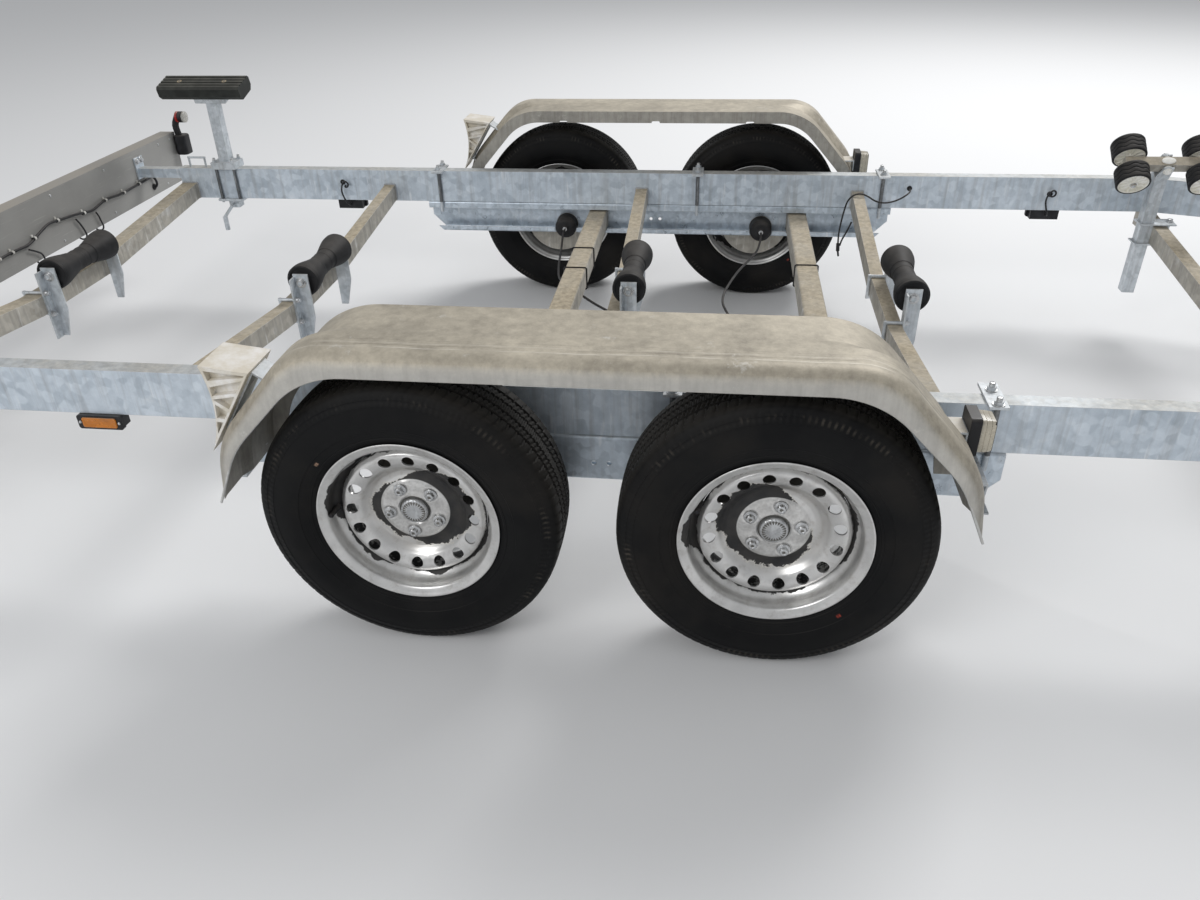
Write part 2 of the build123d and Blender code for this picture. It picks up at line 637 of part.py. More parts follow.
def fender_shape(s, inset, below, inner, outer, roll):
    """Everything under one fender's outside, moved inwards by inset, between two distances from the middle."""
    with BuildPart() as shape:
        with BuildSketch(side(s * outer)):
            fender_area(FENDER_CROWN, inset, below)
        extrude(amount=s * (outer - FENDER_CROWN_Y))
        edges = shape.edges().filter_by(lambda e: abs(e.center().Y - s * outer) < 0.1)
        lowest = min(e.center().Z for e in edges)
        fillet([e for e in edges if e.center().Z > lowest + 1], roll)
        with BuildSketch(side(s * FENDER_CROWN_Y)):
            fender_area(FENDER_CROWN, inset, below)
        with BuildSketch(side(s * FENDER_PAN_Y)):
            fender_area(FENDER_PAN, inset, below)
        loft()
        with BuildSketch(side(s * FENDER_PAN_Y)):
            fender_area(FENDER_PAN, inset, below)
        extrude(amount=s * (FENDER_PAN_Y - inner))
    return shape.part


for side_name, s in SIDES:
    inner, outer = FENDER_Y
    hollow = fender_shape(s, FENDER_SHEET, FENDER_SLOT[0], inner + FENDER_SHEET, outer - FENDER_SHEET,
                          FENDER_ROLL - FENDER_SHEET)
    with BuildPart() as fender:
        add(fender_shape(s, 0, 0, inner, outer, FENDER_ROLL))
        add(hollow, mode=Mode.SUBTRACT)
        with BuildSketch(side(s * (outer + 1))):
            fender_area(FENDER_EDGE, 0, FENDER_SHEET)
        extrude(amount=s * FENDER_ROLL, mode=Mode.SUBTRACT)
        with BuildSketch(side(s * (inner + 2 * FENDER_SHEET))):
            fender_area(FENDER_PAN, FENDER_FLANGE, FENDER_SHEET)
            with Locations(*FENDER_SLOTS):
                SlotOverall(*FENDER_SLOT)
        extrude(amount=s * 3 * FENDER_SHEET, mode=Mode.SUBTRACT)
    save(fender, f"fender_{side_name}")

# Small brackets on the fenders: stays, chock holders and lamp strips
def chock_point(along, out):
    """Point in side view from a distance along the line up the rear leg and a distance out from it."""
    point = Vector(along, out).rotate(Axis.Z, CHOCK_ANGLE)
    return (CHOCK_FOOT[0] + point.X, CHOCK_FOOT[1] + point.Y)


fender_block = fender_shape(1, -FENDER_GAP, 0, FENDER_Y[0] - FENDER_GAP, FENDER_Y[1] + FENDER_GAP, FENDER_ROLL)
with BuildPart() as fender_brackets:
    for end in (-1, 1):
        x = end * STAY_X
        low, high = STAY_Z
        with BuildSketch(across(x)):
            root = RAIL_OUTER + CARRIER_PROUD
            Polygon((root, low + 20), (root + 20, low), (970, low), (985, high), (root, high))
        extrude(amount=end * STAY_SHEET)
        bar(level(low), (x, 890), (x + end * 22, 972), STAY_SHEET)
        bar(level(high - STAY_SHEET), (x, FENDER_Y[0]), (end * FENDER_PAN[1][0], 985), STAY_SHEET)
    rear, front = HOLDER_ALONG
    with BuildSketch(side(CHOCK_Y + HOLDER_HALF)):
        Polygon(*[chock_point(*point) for point in (
            (rear, 0), (rear, HOLDER_OUT), (front, HOLDER_OUT), (front, 0), (front - HOLDER_SHEET, 0),
            (front - HOLDER_SHEET, HOLDER_OUT - HOLDER_SHEET), (rear + HOLDER_SHEET, HOLDER_OUT - HOLDER_SHEET),
            (rear + HOLDER_SHEET, 0))])
    extrude(amount=2 * HOLDER_HALF)
    with BuildSketch(side(LAMP_Y + LAMP_STRIP_HALF)):
        (low, high), root, end = LAMP_STRIP_Z, FENDER_PAN[0][0], LAMP_X[0] - FENDER_GAP
        Polygon((root, high), (end, high), (end, low - 34), (end - STAY_SHEET, low - 34), (end - STAY_SHEET, low),
                (root, low))
    extrude(amount=2 * LAMP_STRIP_HALF)
    add(fender_block, mode=Mode.SUBTRACT)
    mirror(about=Plane.XZ)
save(fender_brackets, "fender_brackets")

with BuildPart() as chocks:
    with BuildSketch(side(CHOCK_Y + CHOCK_HALF)):
        with BuildLine():
            Polyline(chock_point(*CHOCK_TIP), chock_point(*CHOCK_TOP[1]), chock_point(*CHOCK_TOP[0]))
            ThreePointArc(chock_point(*CHOCK_TOP[0]), chock_point(*CHOCK_CRADLE), chock_point(*CHOCK_TIP))
        make_face()
    extrude(amount=2 * CHOCK_HALF)
    for face_y, depth in ((CHOCK_Y + CHOCK_HALF, 1), (CHOCK_Y - CHOCK_HALF, -1)):
        with BuildSketch(side(face_y)):
            for pocket in CHOCK_POCKETS:
                Polygon(*[chock_point(*point) for point in pocket])
        extrude(amount=depth * POCKET_DEPTH, mode=Mode.SUBTRACT)
    mirror(about=Plane.XZ)
save(chocks, "wheel_chocks")

with BuildPart() as chassis_lamps:
    for start, stop, size, corner, taper in LAMP_BLOCKS:
        with BuildSketch(across(start)):
            with Locations((LAMP_Y, LAMP_Z)):
                RectangleRounded(*size, corner)
        extrude(amount=stop - start, taper=taper)
    add(fender_block, mode=Mode.SUBTRACT)
    for x in MARKER_X:
        bar(side(RAIL_OUTER - 2), (x - 48, RAIL_BOTTOM - 37), (x + 48, RAIL_BOTTOM), 30)
        with BuildSketch(side(RAIL_OUTER + 10)):
            with Locations((x, RAIL_BOTTOM - 19)):
                RectangleRounded(112, 36, 6)
        extrude(amount=12)
    mirror(about=Plane.XZ)
save(chassis_lamps, "chassis_lamps")

# Keel rollers, with an ear at each end clamped to the crossmember by a U-bolt
with BuildPart() as keel_brackets:
    for x, width, top, end, half in CROSSMEMBERS:
        face = x + width / 2
        low = top - BEAM_DEPTH - EAR_DROP
        bolt_y = EAR_Y + EAR_SHEET + EAR_FLANGE / 2
        with BuildSketch(side(EAR_Y + EAR_SHEET)):
            Polygon((face, low), (face + EAR_WIDTH / 2, low), (face + EAR_WIDTH, low + EAR_DROP),
                    (face + EAR_WIDTH, EAR_TOP), (face, EAR_TOP))
        extrude(amount=EAR_SHEET)
        bar(across(face), (EAR_Y, low), (EAR_Y + EAR_FLANGE, EAR_TOP - 8), EAR_SHEET)
        for z in (top + U_BOLT_RADIUS + 0.5, top - BEAM_DEPTH - U_BOLT_RADIUS - 0.5):
            rod((x - width / 2 - 2 * U_BOLT_RADIUS, bolt_y, z), (face + EAR_SHEET + 14, bolt_y, z), U_BOLT_RADIUS)
        rod((x - width / 2 - U_BOLT_RADIUS - 0.5, bolt_y, top - BEAM_DEPTH - 2 * U_BOLT_RADIUS),
            (x - width / 2 - U_BOLT_RADIUS - 0.5, bolt_y, top + 2 * U_BOLT_RADIUS), U_BOLT_RADIUS)
    mirror(about=Plane.XZ)
    for x, width, top, end, half in CROSSMEMBERS:
        pin_x = x + width / 2 + ROLLER_AHEAD
        rod((pin_x, -EAR_Y - EAR_SHEET - 8, ROLLER_Z), (pin_x, EAR_Y + EAR_SHEET + 8, ROLLER_Z), PIN_RADIUS)
save(keel_brackets, "keel_roller_brackets")


def keel_roller(x):
    """Waisted rubber roller that turns on its pin."""
    profile = [
        # radius, distance from the roller's middle
        (PIN_RADIUS + PIN_GAP, ROLLER_HALF), (ROLLER_RADIUS - 4, ROLLER_HALF), (ROLLER_RADIUS, ROLLER_HALF - 5),
        (ROLLER_RADIUS - 3, 110), (ROLLER_NECK + 3, 45), (ROLLER_NECK, 22),
    ]
    with BuildPart() as piece:
        turned(x, ROLLER_Z, profile + [(r, -y) for r, y in profile[::-1]])
    return piece


ROLLER_NAMES = ["rear", "mid_rear", "centre", "mid_front", "front"]
for name, row in zip(ROLLER_NAMES, CROSSMEMBERS):
    save(keel_roller(row[0] + row[1] / 2 + ROLLER_AHEAD), f"keel_roller_{name}")

# Posts with rockers at the front crossmember, leaning in towards the hull
LEAN = radians(HEAD_TILT)


def head_plane(s, along=0.0, lift=0.0):
    """Plane across a rocker's head: its coordinates are (x from the head, height over the pivot)."""
    out = Vector(0, s * cos(LEAN), sin(LEAN))
    up = Vector(0, -s * sin(LEAN), cos(LEAN))
    pivot = Vector(AXLE_X + HEAD_X, s * HEAD_Y, HEAD_Z) + out * along + up * lift
    return Plane(origin=pivot, x_dir=(1, 0, 0), z_dir=out * -s)


def head_rod(s, x, start, end, radius):
    """Round bar along the lean of a rocker's head, at x from the head."""
    with BuildSketch(head_plane(s, end)) as face:
        with Locations((x, 0)):
            Circle(radius)
    extrude(face.sketch, amount=s * (end - start))


with BuildPart() as roller_posts:
    base_y = HEAD_Y + HEAD_DROP * sin(LEAN)
    base_z = HEAD_Z - HEAD_DROP * cos(LEAN)
    edges = [POST_Y - POST_SIDE / 2, POST_Y + POST_SIDE / 2]
    slope = tan(LEAN)
    with BuildSketch(across(HEAD_X - POST_SIDE / 2)):
        tops = [base_z + (y - base_y) * slope for y in edges]
        Polygon((edges[0], POST_FOOT), (edges[1], POST_FOOT), (edges[1], tops[1]), (edges[0], tops[0]))
    extrude(amount=POST_SIDE)
    cheek = ROCKER_HALF_WIDTH + 6
    with BuildSketch(head_plane(1, cheek + 5)):
        Polygon((-22, -HEAD_DROP), (22, -HEAD_DROP), (22, -HEAD_DROP + 5), (-22, -HEAD_DROP + 5))
    extrude(amount=2 * (cheek + 5))
    for start in (cheek + 5, -cheek):
        with BuildSketch(head_plane(1, start)):
            Polygon((-22, -HEAD_DROP), (22, -HEAD_DROP), (16, 14), (-16, 14))
        extrude(amount=5)
    head_rod(1, 0, -cheek - 9, cheek + 9, 6)
    beam_x, beam_width, beam_top, beam_end, beam_half = CROSSMEMBERS[-1]
    rise = (beam_end - beam_top) / (RAIL_INNER - BEAM_FLAT)
    over = beam_top + (POST_Y + 32 - BEAM_FLAT) * rise
    under = beam_top - BEAM_DEPTH + (POST_Y - 32 - BEAM_FLAT) * rise
    for z in (over, under - 5):
        bar(level(z), (HEAD_X - 28, POST_Y - 32), (beam_x + beam_width / 2 + 24, POST_Y + 32), 5)
    rod((beam_x + beam_width / 2 + 12, POST_Y, under - 14), (beam_x + beam_width / 2 + 12, POST_Y, over + 14), 5)
    mirror(about=Plane.XZ)
save(roller_posts, "roller_posts")


def rocker(s):
    """Channel that rocks on its pivot and carries an axle at each end."""
    with BuildPart() as piece:
        with BuildSketch(head_plane(s, ROCKER_HALF_WIDTH)):
            Polygon((-ROCKER_REACH - 20, -10), (-60, -18), (60, -18), (ROCKER_REACH + 20, -10),
                    (ROCKER_REACH + 20, 16), (-ROCKER_REACH - 20, 16))
            Circle(6 + PIN_GAP, mode=Mode.SUBTRACT)
        extrude(amount=s * 2 * ROCKER_HALF_WIDTH)
        for x in (-ROCKER_REACH, ROCKER_REACH):
            reach = ROCKER_WHEEL_INNER + ROCKER_WHEEL_WIDTH + 6
            head_rod(s, x, -reach, reach, ROCKER_AXLE_RADIUS)
    return piece


def rocker_wheels(s, x):
    """Pair of small wheels on one axle of a rocker."""
    r, w = ROCKER_WHEEL_RADIUS, ROCKER_WHEEL_WIDTH
    with BuildPart() as piece:
        for start in (ROCKER_WHEEL_INNER + w, -ROCKER_WHEEL_INNER):
            with BuildSketch(head_plane(s, start)):
                with Locations((x, 0)):
                    Circle(r)
                    Circle(ROCKER_AXLE_RADIUS + PIN_GAP, mode=Mode.SUBTRACT)
            extrude(amount=s * w)
    return piece


for side_name, s in SIDES:
    save(rocker(s), f"rocker_{side_name}")
    save(rocker_wheels(s, -ROCKER_REACH), f"rocker_wheels_rear_{side_name}")
    save(rocker_wheels(s, ROCKER_REACH), f"rocker_wheels_front_{side_name}")

# Side pads near the stern, each on a post clamped to the rail
TILT = radians(PAD_TILT)


def pad_plane(x, lift=0.0):
    """Plane across a pad at x: its coordinates are (outwards along the pad, height over its middle)."""
    return Plane(origin=(AXLE_X + x, PAD_Y - lift * sin(TILT), PAD_Z + lift * cos(TILT)),
                 x_dir=(0, cos(TILT), sin(TILT)), z_dir=(1, 0, 0))


with BuildPart() as pad_posts:
    bar(across(PAD_POST_X - 48), (RAIL_INNER - 16, RAIL_TOP), (RAIL_OUTER + 16, RAIL_TOP + 26), 96)
    bar(across(PAD_POST_X - 20), (RAIL_Y - 20, RAIL_TOP + 26), (RAIL_Y + 20, PAD_Z - PAD_THICK / 2 - 14), 40)
    with BuildSketch(pad_plane(PAD_POST_X - 60)):
        under = -PAD_THICK / 2
        Polygon((-38, under - 16), (38, under - 16), (38, under - 0.3), (-38, under - 0.3))
    extrude(amount=120)
    with BuildSketch(level(RAIL_TOP)):
        with Locations(*[(x, y) for x in PAD_ROD_X for y in (RAIL_INNER - 6, RAIL_OUTER + 6)]):
            Circle(5.3)
    extrude(amount=26, mode=Mode.SUBTRACT)
    mirror(about=Plane.XZ)
save(pad_posts, "side_pad_posts")

with BuildPart() as pads:
    half, low, high = PAD_WIDTH / 2, -PAD_THICK / 2, PAD_THICK / 2
    with BuildSketch(pad_plane(PAD_X - PAD_LENGTH / 2)):
        Polygon((-half + 14, low), (half - 14, low), (half, low + 16), (half, high - 8), (half - 8, high),
                (-half + 8, high), (-half, high - 8), (-half, low + 16))
        for y in PAD_GROOVES:
            with Locations((y, high)):
                Rectangle(6, 8, mode=Mode.SUBTRACT)
    extrude(amount=PAD_LENGTH)
    mirror(about=Plane.XZ)
save(pads, "side_pads")

# Clamps round the rails: axle carriers, side pads and light board arms
with BuildPart() as clamps:
    for x in CLAMP_X:
        bar(level(RAIL_TOP), (x - CLAMP_HALF, RAIL_INNER - 40), (x + CLAMP_HALF, RAIL_OUTER + 24), CLAMP_PLATE)
        for y in (RAIL_INNER - CLAMP_ROD - 1, RAIL_OUTER + CARRIER_PROUD + CLAMP_ROD + 1):
            rod((x, y, CLAMP_ROD_FOOT), (x, y, RAIL_TOP + 20), CLAMP_ROD)
            with BuildSketch(level(RAIL_TOP + CLAMP_PLATE)):
                with Locations((x, y)):
                    RegularPolygon(CLAMP_NUT, 6)
            extrude(amount=9)
    for x in PAD_ROD_X:
        for y in (RAIL_INNER - 6, RAIL_OUTER + 6):
            rod((x, y, RAIL_BOTTOM - 14), (x, y, RAIL_TOP + 36), 5)
            with BuildSketch(level(RAIL_TOP + 26)):
                with Locations((x, y)):
                    RegularPolygon(8, 6)
            extrude(amount=7)
    bar(level(RAIL_BOTTOM - 8), (PAD_POST_X - 50, RAIL_INNER - 16), (PAD_POST_X + 50, RAIL_OUTER + 16), 8)
    bar(level(RAIL_BOTTOM - 38), (PAD_POST_X - 18, RAIL_Y - 20), (PAD_POST_X + 22, RAIL_Y + 20), 30)
    x, y, z = PAD_POST_X + 2, RAIL_INNER - 18, RAIL_BOTTOM - 25
    rod((x, RAIL_Y - 18, z), (x, y, z), 6)
    rod((x + 2, y, z + 2), (x - 40, y, z - 45), 6)
    rod((x - 40, y, z - 45), (x - 40, y, z - 97), 9)
    mirror(about=Plane.XZ)
save(clamps, "rail_clamps")

with BuildPart() as locks:
    for x in (LOCK_X - 32, LOCK_X + 32):
        rod((x, RAIL_Y, RAIL_TOP), (x, RAIL_Y, RAIL_TOP + 36), 4)
    rod((LOCK_X - 36, RAIL_Y, RAIL_TOP + 36), (LOCK_X + 36, RAIL_Y, RAIL_TOP + 36), 4)
    mirror(about=Plane.XZ)
save(locks, "board_lock_handles")

# Light board on two arms that slide out of the rails
with BuildPart() as board:
    back = BOARD_X - BOARD_DEPTH
    bar(across(BOARD_X - BOARD_SHEET), (-BOARD_HALF, BOARD_Z[0]), (BOARD_HALF, BOARD_Z[1]), BOARD_SHEET)
    for z in (BOARD_Z[0], BOARD_Z[1] - BOARD_SHEET):
        bar(level(z), (back, -BOARD_HALF), (BOARD_X, BOARD_HALF), BOARD_SHEET)
    bar(across(BOARD_X - BOARD_SHEET - PLATE_BACK), (-PLATE_HALF, PLATE_Z[0]), (PLATE_HALF, PLATE_Z[1]),
        PLATE_BACK)
save(board, "light_board")

with BuildPart() as board_arms:
    half = ARM_WIDTH / 2
    bar(across(BOARD_X + ARM_PLATE), (RAIL_Y - half, ARM_Z[0]), (RAIL_Y + half, ARM_Z[1]),
        ARM_INSIDE_X - BOARD_X - ARM_PLATE)
    bar(across(BOARD_X), (RAIL_Y - 28, ARM_Z[0] - 6), (RAIL_Y + 28, ARM_BOLT_Z + 14), ARM_PLATE)
    for y in (RAIL_Y - 14, RAIL_Y + 14):
        rod((BOARD_X, y, ARM_BOLT_Z), (BOARD_X + 14, y, ARM_BOLT_Z), 7)
    mirror(about=Plane.XZ)
save(board_arms, "light_board_arms")

with BuildPart() as rear_lamps:
    with BuildSketch(across(BOARD_X - BOARD_SHEET - 58)):
        with Locations((TAIL_LAMP_Y, 484)):
            RectangleRounded(230, 138, 12)
    extrude(amount=58)
    with BuildSketch(level(492)):
        with Locations((BOARD_X + 26, BOARD_HALF + 4)):
            RectangleRounded(50, 58, 16)
    extrude(amount=78)
    rod((BOARD_X + 20, BOARD_HALF, 560), (BOARD_X + 12, BOARD_HALF + 2, 606), 14)
    rod((BOARD_X + 12, BOARD_HALF + 2, 600), (BOARD_X + 34, BOARD_HALF + 6, 652), 14)
    rod((BOARD_X + 24, BOARD_HALF + 5, 640), (BOARD_X + 66, BOARD_HALF + 6, 640), 22)
    mirror(about=Plane.XZ)
save(rear_lamps, "rear_lamps")

# Overrun coupling between the ends of the rails
with BuildPart() as housing:
    rear, front = HOUSING_X
    bar(across(rear), (-HOUSING_HALF, HOUSING_Z[0]), (HOUSING_HALF, HOUSING_Z[1]), front - rear)
    plate_x = (rear + 30, RAIL_FRONT)
    for z in (RAIL_TOP, RAIL_BOTTOM - 6):
        with BuildSketch(level(z)):
            Polygon(*[(x, s * (drawbar_y(x) + 20)) for x, s in
                      ((plate_x[0], -1), (plate_x[1], -1), (plate_x[1], 1), (plate_x[0], 1))])
        extrude(amount=6)
    for x in (rear + 60, RAIL_FRONT - 30):
        bar(across(x), (-HOUSING_HALF - 5, RAIL_BOTTOM), (HOUSING_HALF + 5, RAIL_TOP), 8)
save(housing, "coupling_housing")

with BuildPart() as gaiter:
    ribs = 6
    pitch = GAITER_LENGTH / ribs
    profile = [(HOUSING_X[1], 0), (HOUSING_X[1], 34)]
    for i in range(ribs):
        start = HOUSING_X[1] + i * pitch
        profile += [(start + pitch * 0.25, 44 - i), (start + pitch * 0.75, 44 - i), (start + pitch, 34 - i)]
    profile += [(HOUSING_X[1] + GAITER_LENGTH, 0)]
    with BuildSketch(Plane(origin=(AXLE_X, 0, DRAW_Z), x_dir=(1, 0, 0), z_dir=(0, -1, 0))):
        Polygon(*profile)
    revolve(axis=Axis((AXLE_X, 0, DRAW_Z), (1, 0, 0)))
save(gaiter, "coupling_gaiter")

with BuildPart() as head:
    start = HOUSING_X[1] + GAITER_LENGTH
    rod((start, 0, DRAW_Z), (start + 60, 0, DRAW_Z), 30)
    bar(across(start + 30), (-28, DRAW_Z - 26), (28, DRAW_Z + 30), BALL_X - 20 - start - 30)
    with Locations((AXLE_X + BALL_X, 0, BALL_Z)):
        Sphere(40)
    bar(level(BALL_Z + 20), (BALL_X - 60, -24), (BALL_X + 20, 24), 34)
    rod((BALL_X - 40, 0, BALL_Z + 50), (BALL_X - 118, 0, BALL_Z + 104), 9)
    bar(level(BALL_Z + 96), (BALL_X - 190, -14), (BALL_X - 100, 14), 14)
    with Locations((AXLE_X + BALL_X, 0, BALL_Z)):
        Sphere(BALL_RADIUS + 0.4, mode=Mode.SUBTRACT)
    with BuildSketch(level(BALL_Z - 60)):
        with Locations((BALL_X, 0)):
            Circle(60)
    extrude(amount=48, mode=Mode.SUBTRACT)
save(head, "coupling_head")

with BuildPart() as lever:
    with BuildSketch(side(-HOUSING_HALF - 6)):
        Polygon(*[(HOUSING_X[1] + x, z) for x, z in (
            (-50, 470), (-4, 470), (-20, 560), (-62, 860), (-90, 860), (-52, 560))])
    extrude(amount=10)
    rod((HOUSING_X[1] - 75, -HOUSING_HALF - 11, 840), (HOUSING_X[1] - 80, -HOUSING_HALF - 11, 930), 14)
    rod((HOUSING_X[1] - 27, -HOUSING_HALF, 492), (HOUSING_X[1] - 27, -HOUSING_HALF - 20, 492), 12)
save(lever, "handbrake_lever")

# Jockey wheel, clamped to the right rail
with BuildPart() as jack_tube:
    with BuildSketch(level(JACK_TUBE_Z[0])):
        with Locations((JACK_X, JACK_Y)):
            Circle(JACK_TUBE)
            Circle(JACK_LEG + 0.5, mode=Mode.SUBTRACT)
    extrude(amount=JACK_TUBE_Z[1] - JACK_TUBE_Z[0])
    rod((JACK_X, JACK_Y, JACK_TUBE_Z[1]), (JACK_X, JACK_Y, JACK_TUBE_Z[1] + 30), 26)
    rod((JACK_X, JACK_Y, JACK_TUBE_Z[1] + 30), (JACK_X, JACK_Y, JACK_TUBE_Z[1] + 46), 9)
    bar(level(JACK_TUBE_Z[1] + 38), (JACK_X - 12, JACK_Y - 150), (JACK_X + 12, JACK_Y + 8), 8)
    rod((JACK_X, JACK_Y - 140, JACK_TUBE_Z[1] + 46), (JACK_X, JACK_Y - 140, JACK_TUBE_Z[1] + 130), 13)
    rail_face = drawbar_y(JACK_X) + RAIL_WIDTH / 2 / cos(radians(DRAWBAR_ANGLE))
    with BuildSketch(level(430)):
        with Locations((JACK_X, JACK_Y)):
            Circle(JACK_TUBE + 8)
            Circle(JACK_TUBE, mode=Mode.SUBTRACT)
    extrude(amount=66)
    with BuildSketch(level(430)):
        run = 30 * tan(radians(DRAWBAR_ANGLE))
        Polygon((JACK_X - 30, -rail_face - run), (JACK_X + 30, -rail_face + run),
                (JACK_X + 22, JACK_Y + JACK_TUBE), (JACK_X - 22, JACK_Y + JACK_TUBE))
    extrude(amount=66)
    with BuildSketch(level(JACK_TUBE_Z[0])):
        with Locations((JACK_X, JACK_Y)):
            Circle(JACK_LEG + 0.5)
    extrude(amount=JACK_TUBE_Z[1] - JACK_TUBE_Z[0], mode=Mode.SUBTRACT)
save(jack_tube, "jockey_tube")

with BuildPart() as jack_leg:
    rod((JACK_X, JACK_Y, JACK_FORK_Z[1] + 1), (JACK_X, JACK_Y, 600), JACK_LEG)
save(jack_leg, "jockey_leg")

with BuildPart() as jack_fork:
    axle_x = JACK_X - JACK_TRAIL
    low, high = JACK_FORK_Z
    half = JACK_FORK_HALF
    bar(level(low), (axle_x - 28, JACK_Y - half), (JACK_X + 30, JACK_Y + half), high - low)
    for y in (JACK_Y - half + JACK_FORK_SHEET, JACK_Y + half):
        with BuildSketch(side(y)):
            Polygon((axle_x - 20, 86), (axle_x + 20, 86), (JACK_X + 26, high), (axle_x - 24, high))
        extrude(amount=JACK_FORK_SHEET)
    rod((axle_x, JACK_Y - half - 6, JACK_WHEEL_RADIUS), (axle_x, JACK_Y + half + 6, JACK_WHEEL_RADIUS), JACK_AXLE)
save(jack_fork, "jockey_fork")

with BuildPart() as jack_wheel:
    half = JACK_WHEEL_HALF
    wall = [
        # radius, offset from the wheel's middle
        (JACK_AXLE + PIN_GAP, half + 2), (20, half + 2), (24, 8), (66, 8), (70, half - 3), (92, half),
        (98, half - 8), (JACK_WHEEL_RADIUS, half - 14),
    ]
    turned(JACK_X - JACK_TRAIL, JACK_WHEEL_RADIUS,
           [(r, JACK_Y + o) for r, o in wall] + [(r, JACK_Y - o) for r, o in wall[::-1]])
save(jack_wheel, "jockey_wheel")

# Winch post with its winch and bow stop
with BuildPart() as winch_post:
    half = DRAWBAR_BEAM_WIDTH / 2
    bar(level(DRAWBAR_BEAM_Z[1]), (WINCH_X - 60, -70), (WINCH_X + 60, 70), 8)
    foot = DRAWBAR_BEAM_Z[1] + 8
    bar(level(foot), (WINCH_X - half, -half), (WINCH_X + half, half), WINCH_POST_TOP - foot)
    bar(level(WINCH_POST_TOP), (WINCH_X - 75, -WINCH_HALF - 6), (WINCH_X + 75, WINCH_HALF + 6), 6)
    for y in (WINCH_HALF + 6, -WINCH_HALF):
        with BuildSketch(side(y)):
            top = WINCH_AXIS_Z + 42
            Polygon((WINCH_X - 75, WINCH_POST_TOP), (WINCH_X + 75, WINCH_POST_TOP), (WINCH_X + 50, top),
                    (WINCH_X - 50, top))
            with Locations((WINCH_X + DRUM_X, WINCH_AXIS_Z), (WINCH_X + CRANK_X, WINCH_AXIS_Z - CRANK_DROP)):
                Circle(DRUM_AXLE + PIN_GAP, mode=Mode.SUBTRACT)
        extrude(amount=6)
    with BuildSketch(side(20)):
        Polygon((WINCH_X + half, 800), (WINCH_X + half, 850), (3760, RAIL_TOP + 6), (3700, RAIL_TOP + 6))
    extrude(amount=40)
    bar(level(840), (WINCH_X - 300, -20), (WINCH_X - half, 20), 40)
save(winch_post, "winch_post")

with BuildPart() as drum:
    flange = [
        # radius, offset from the drum's middle
        (0, 68), (DRUM_AXLE, 68), (DRUM_AXLE, 50), (52, 50), (52, 46), (20, 46),
    ]
    turned(WINCH_X + DRUM_X, WINCH_AXIS_Z, flange + [(r, -o) for r, o in flange[::-1]])
save(drum, "winch_drum")

with BuildPart() as crank:
    axis_x, axis_z = WINCH_X + CRANK_X, WINCH_AXIS_Z - CRANK_DROP
    rod((axis_x, -92, axis_z), (axis_x, 66, axis_z), 10)
    with BuildSketch(side(-76)):
        Polygon(*[(axis_x + x, axis_z + z) for x, z in ((-14, -14), (14, -14), (180, 60), (172, 78))])
    extrude(amount=8)
    rod((axis_x + 172, -84, axis_z + 66), (axis_x + 172, -170, axis_z + 66), 14)
save(crank, "winch_crank")

with BuildPart() as bow_stop:
    x = WINCH_X - 300
    with BuildSketch(level(790)):
        Polygon((x - 50, -90), (x, -40), (x, 40), (x - 50, 90), (x - 80, 70), (x - 40, 0), (x - 80, -70))
    extrude(amount=120)
save(bow_stop, "bow_stop")
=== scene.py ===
# %% [markdown]
# # A boat trailer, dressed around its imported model
#
# The trailer stands on four wheels and a jockey wheel: two galvanised rails, five cranked crossmembers with
# waisted keel rollers, two long fenders, side pads, rocker rollers and a light board at the stern. The solids
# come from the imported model. This lesson adds the finishes and the forms that are too fine for solids: tread,
# bolts, welds, moulded ribs and leads.

# %% Load the frame
import json
import math

import bmesh
import bpy
import numpy as np
from mathutils import Matrix


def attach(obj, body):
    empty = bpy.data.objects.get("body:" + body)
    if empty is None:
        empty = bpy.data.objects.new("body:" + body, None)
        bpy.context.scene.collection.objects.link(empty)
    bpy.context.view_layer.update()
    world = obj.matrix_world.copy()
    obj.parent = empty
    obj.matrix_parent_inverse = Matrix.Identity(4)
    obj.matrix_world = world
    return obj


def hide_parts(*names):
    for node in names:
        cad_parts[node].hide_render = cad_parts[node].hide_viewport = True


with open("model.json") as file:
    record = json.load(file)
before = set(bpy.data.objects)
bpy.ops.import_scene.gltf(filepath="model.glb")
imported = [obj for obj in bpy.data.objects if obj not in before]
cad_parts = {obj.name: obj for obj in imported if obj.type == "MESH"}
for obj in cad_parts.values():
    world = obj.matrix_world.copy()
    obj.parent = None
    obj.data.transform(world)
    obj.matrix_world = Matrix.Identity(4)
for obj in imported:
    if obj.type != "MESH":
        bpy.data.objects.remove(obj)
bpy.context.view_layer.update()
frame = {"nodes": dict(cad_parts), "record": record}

AXLE_X = -1.1495                 # the point midway between the two axles, in metres
MM = 0.001
SIDES = (("left", 1), ("right", -1))
BOTH = (1, -1)

# %% [markdown]
# The camera comes first. It was found by fitting the wheels, rails and rollers of the photograph to their
# real sizes: a phone camera held 1.46 m above the floor, 1.6 m out from the near wheels and tilted well
# down. Its direction is worked out from yaw, pitch and roll, and the lens from the field of view.

# %% Camera
PHOTO_WIDTH, FOCAL_PIXELS, SENSOR = 1200, 928.73, 36
EYE = (AXLE_X + 0.2324, -2.6132, 1.4604)
YAW, PITCH, ROLL = -0.13394, 0.55522, -0.02556      # radians: about Z, down, about the line of sight
LENS_MM = FOCAL_PIXELS / PHOTO_WIDTH * SENSOR


def unit(vectors):
    """Vectors scaled to a length of one."""
    return vectors / np.linalg.norm(vectors, axis=-1, keepdims=True)


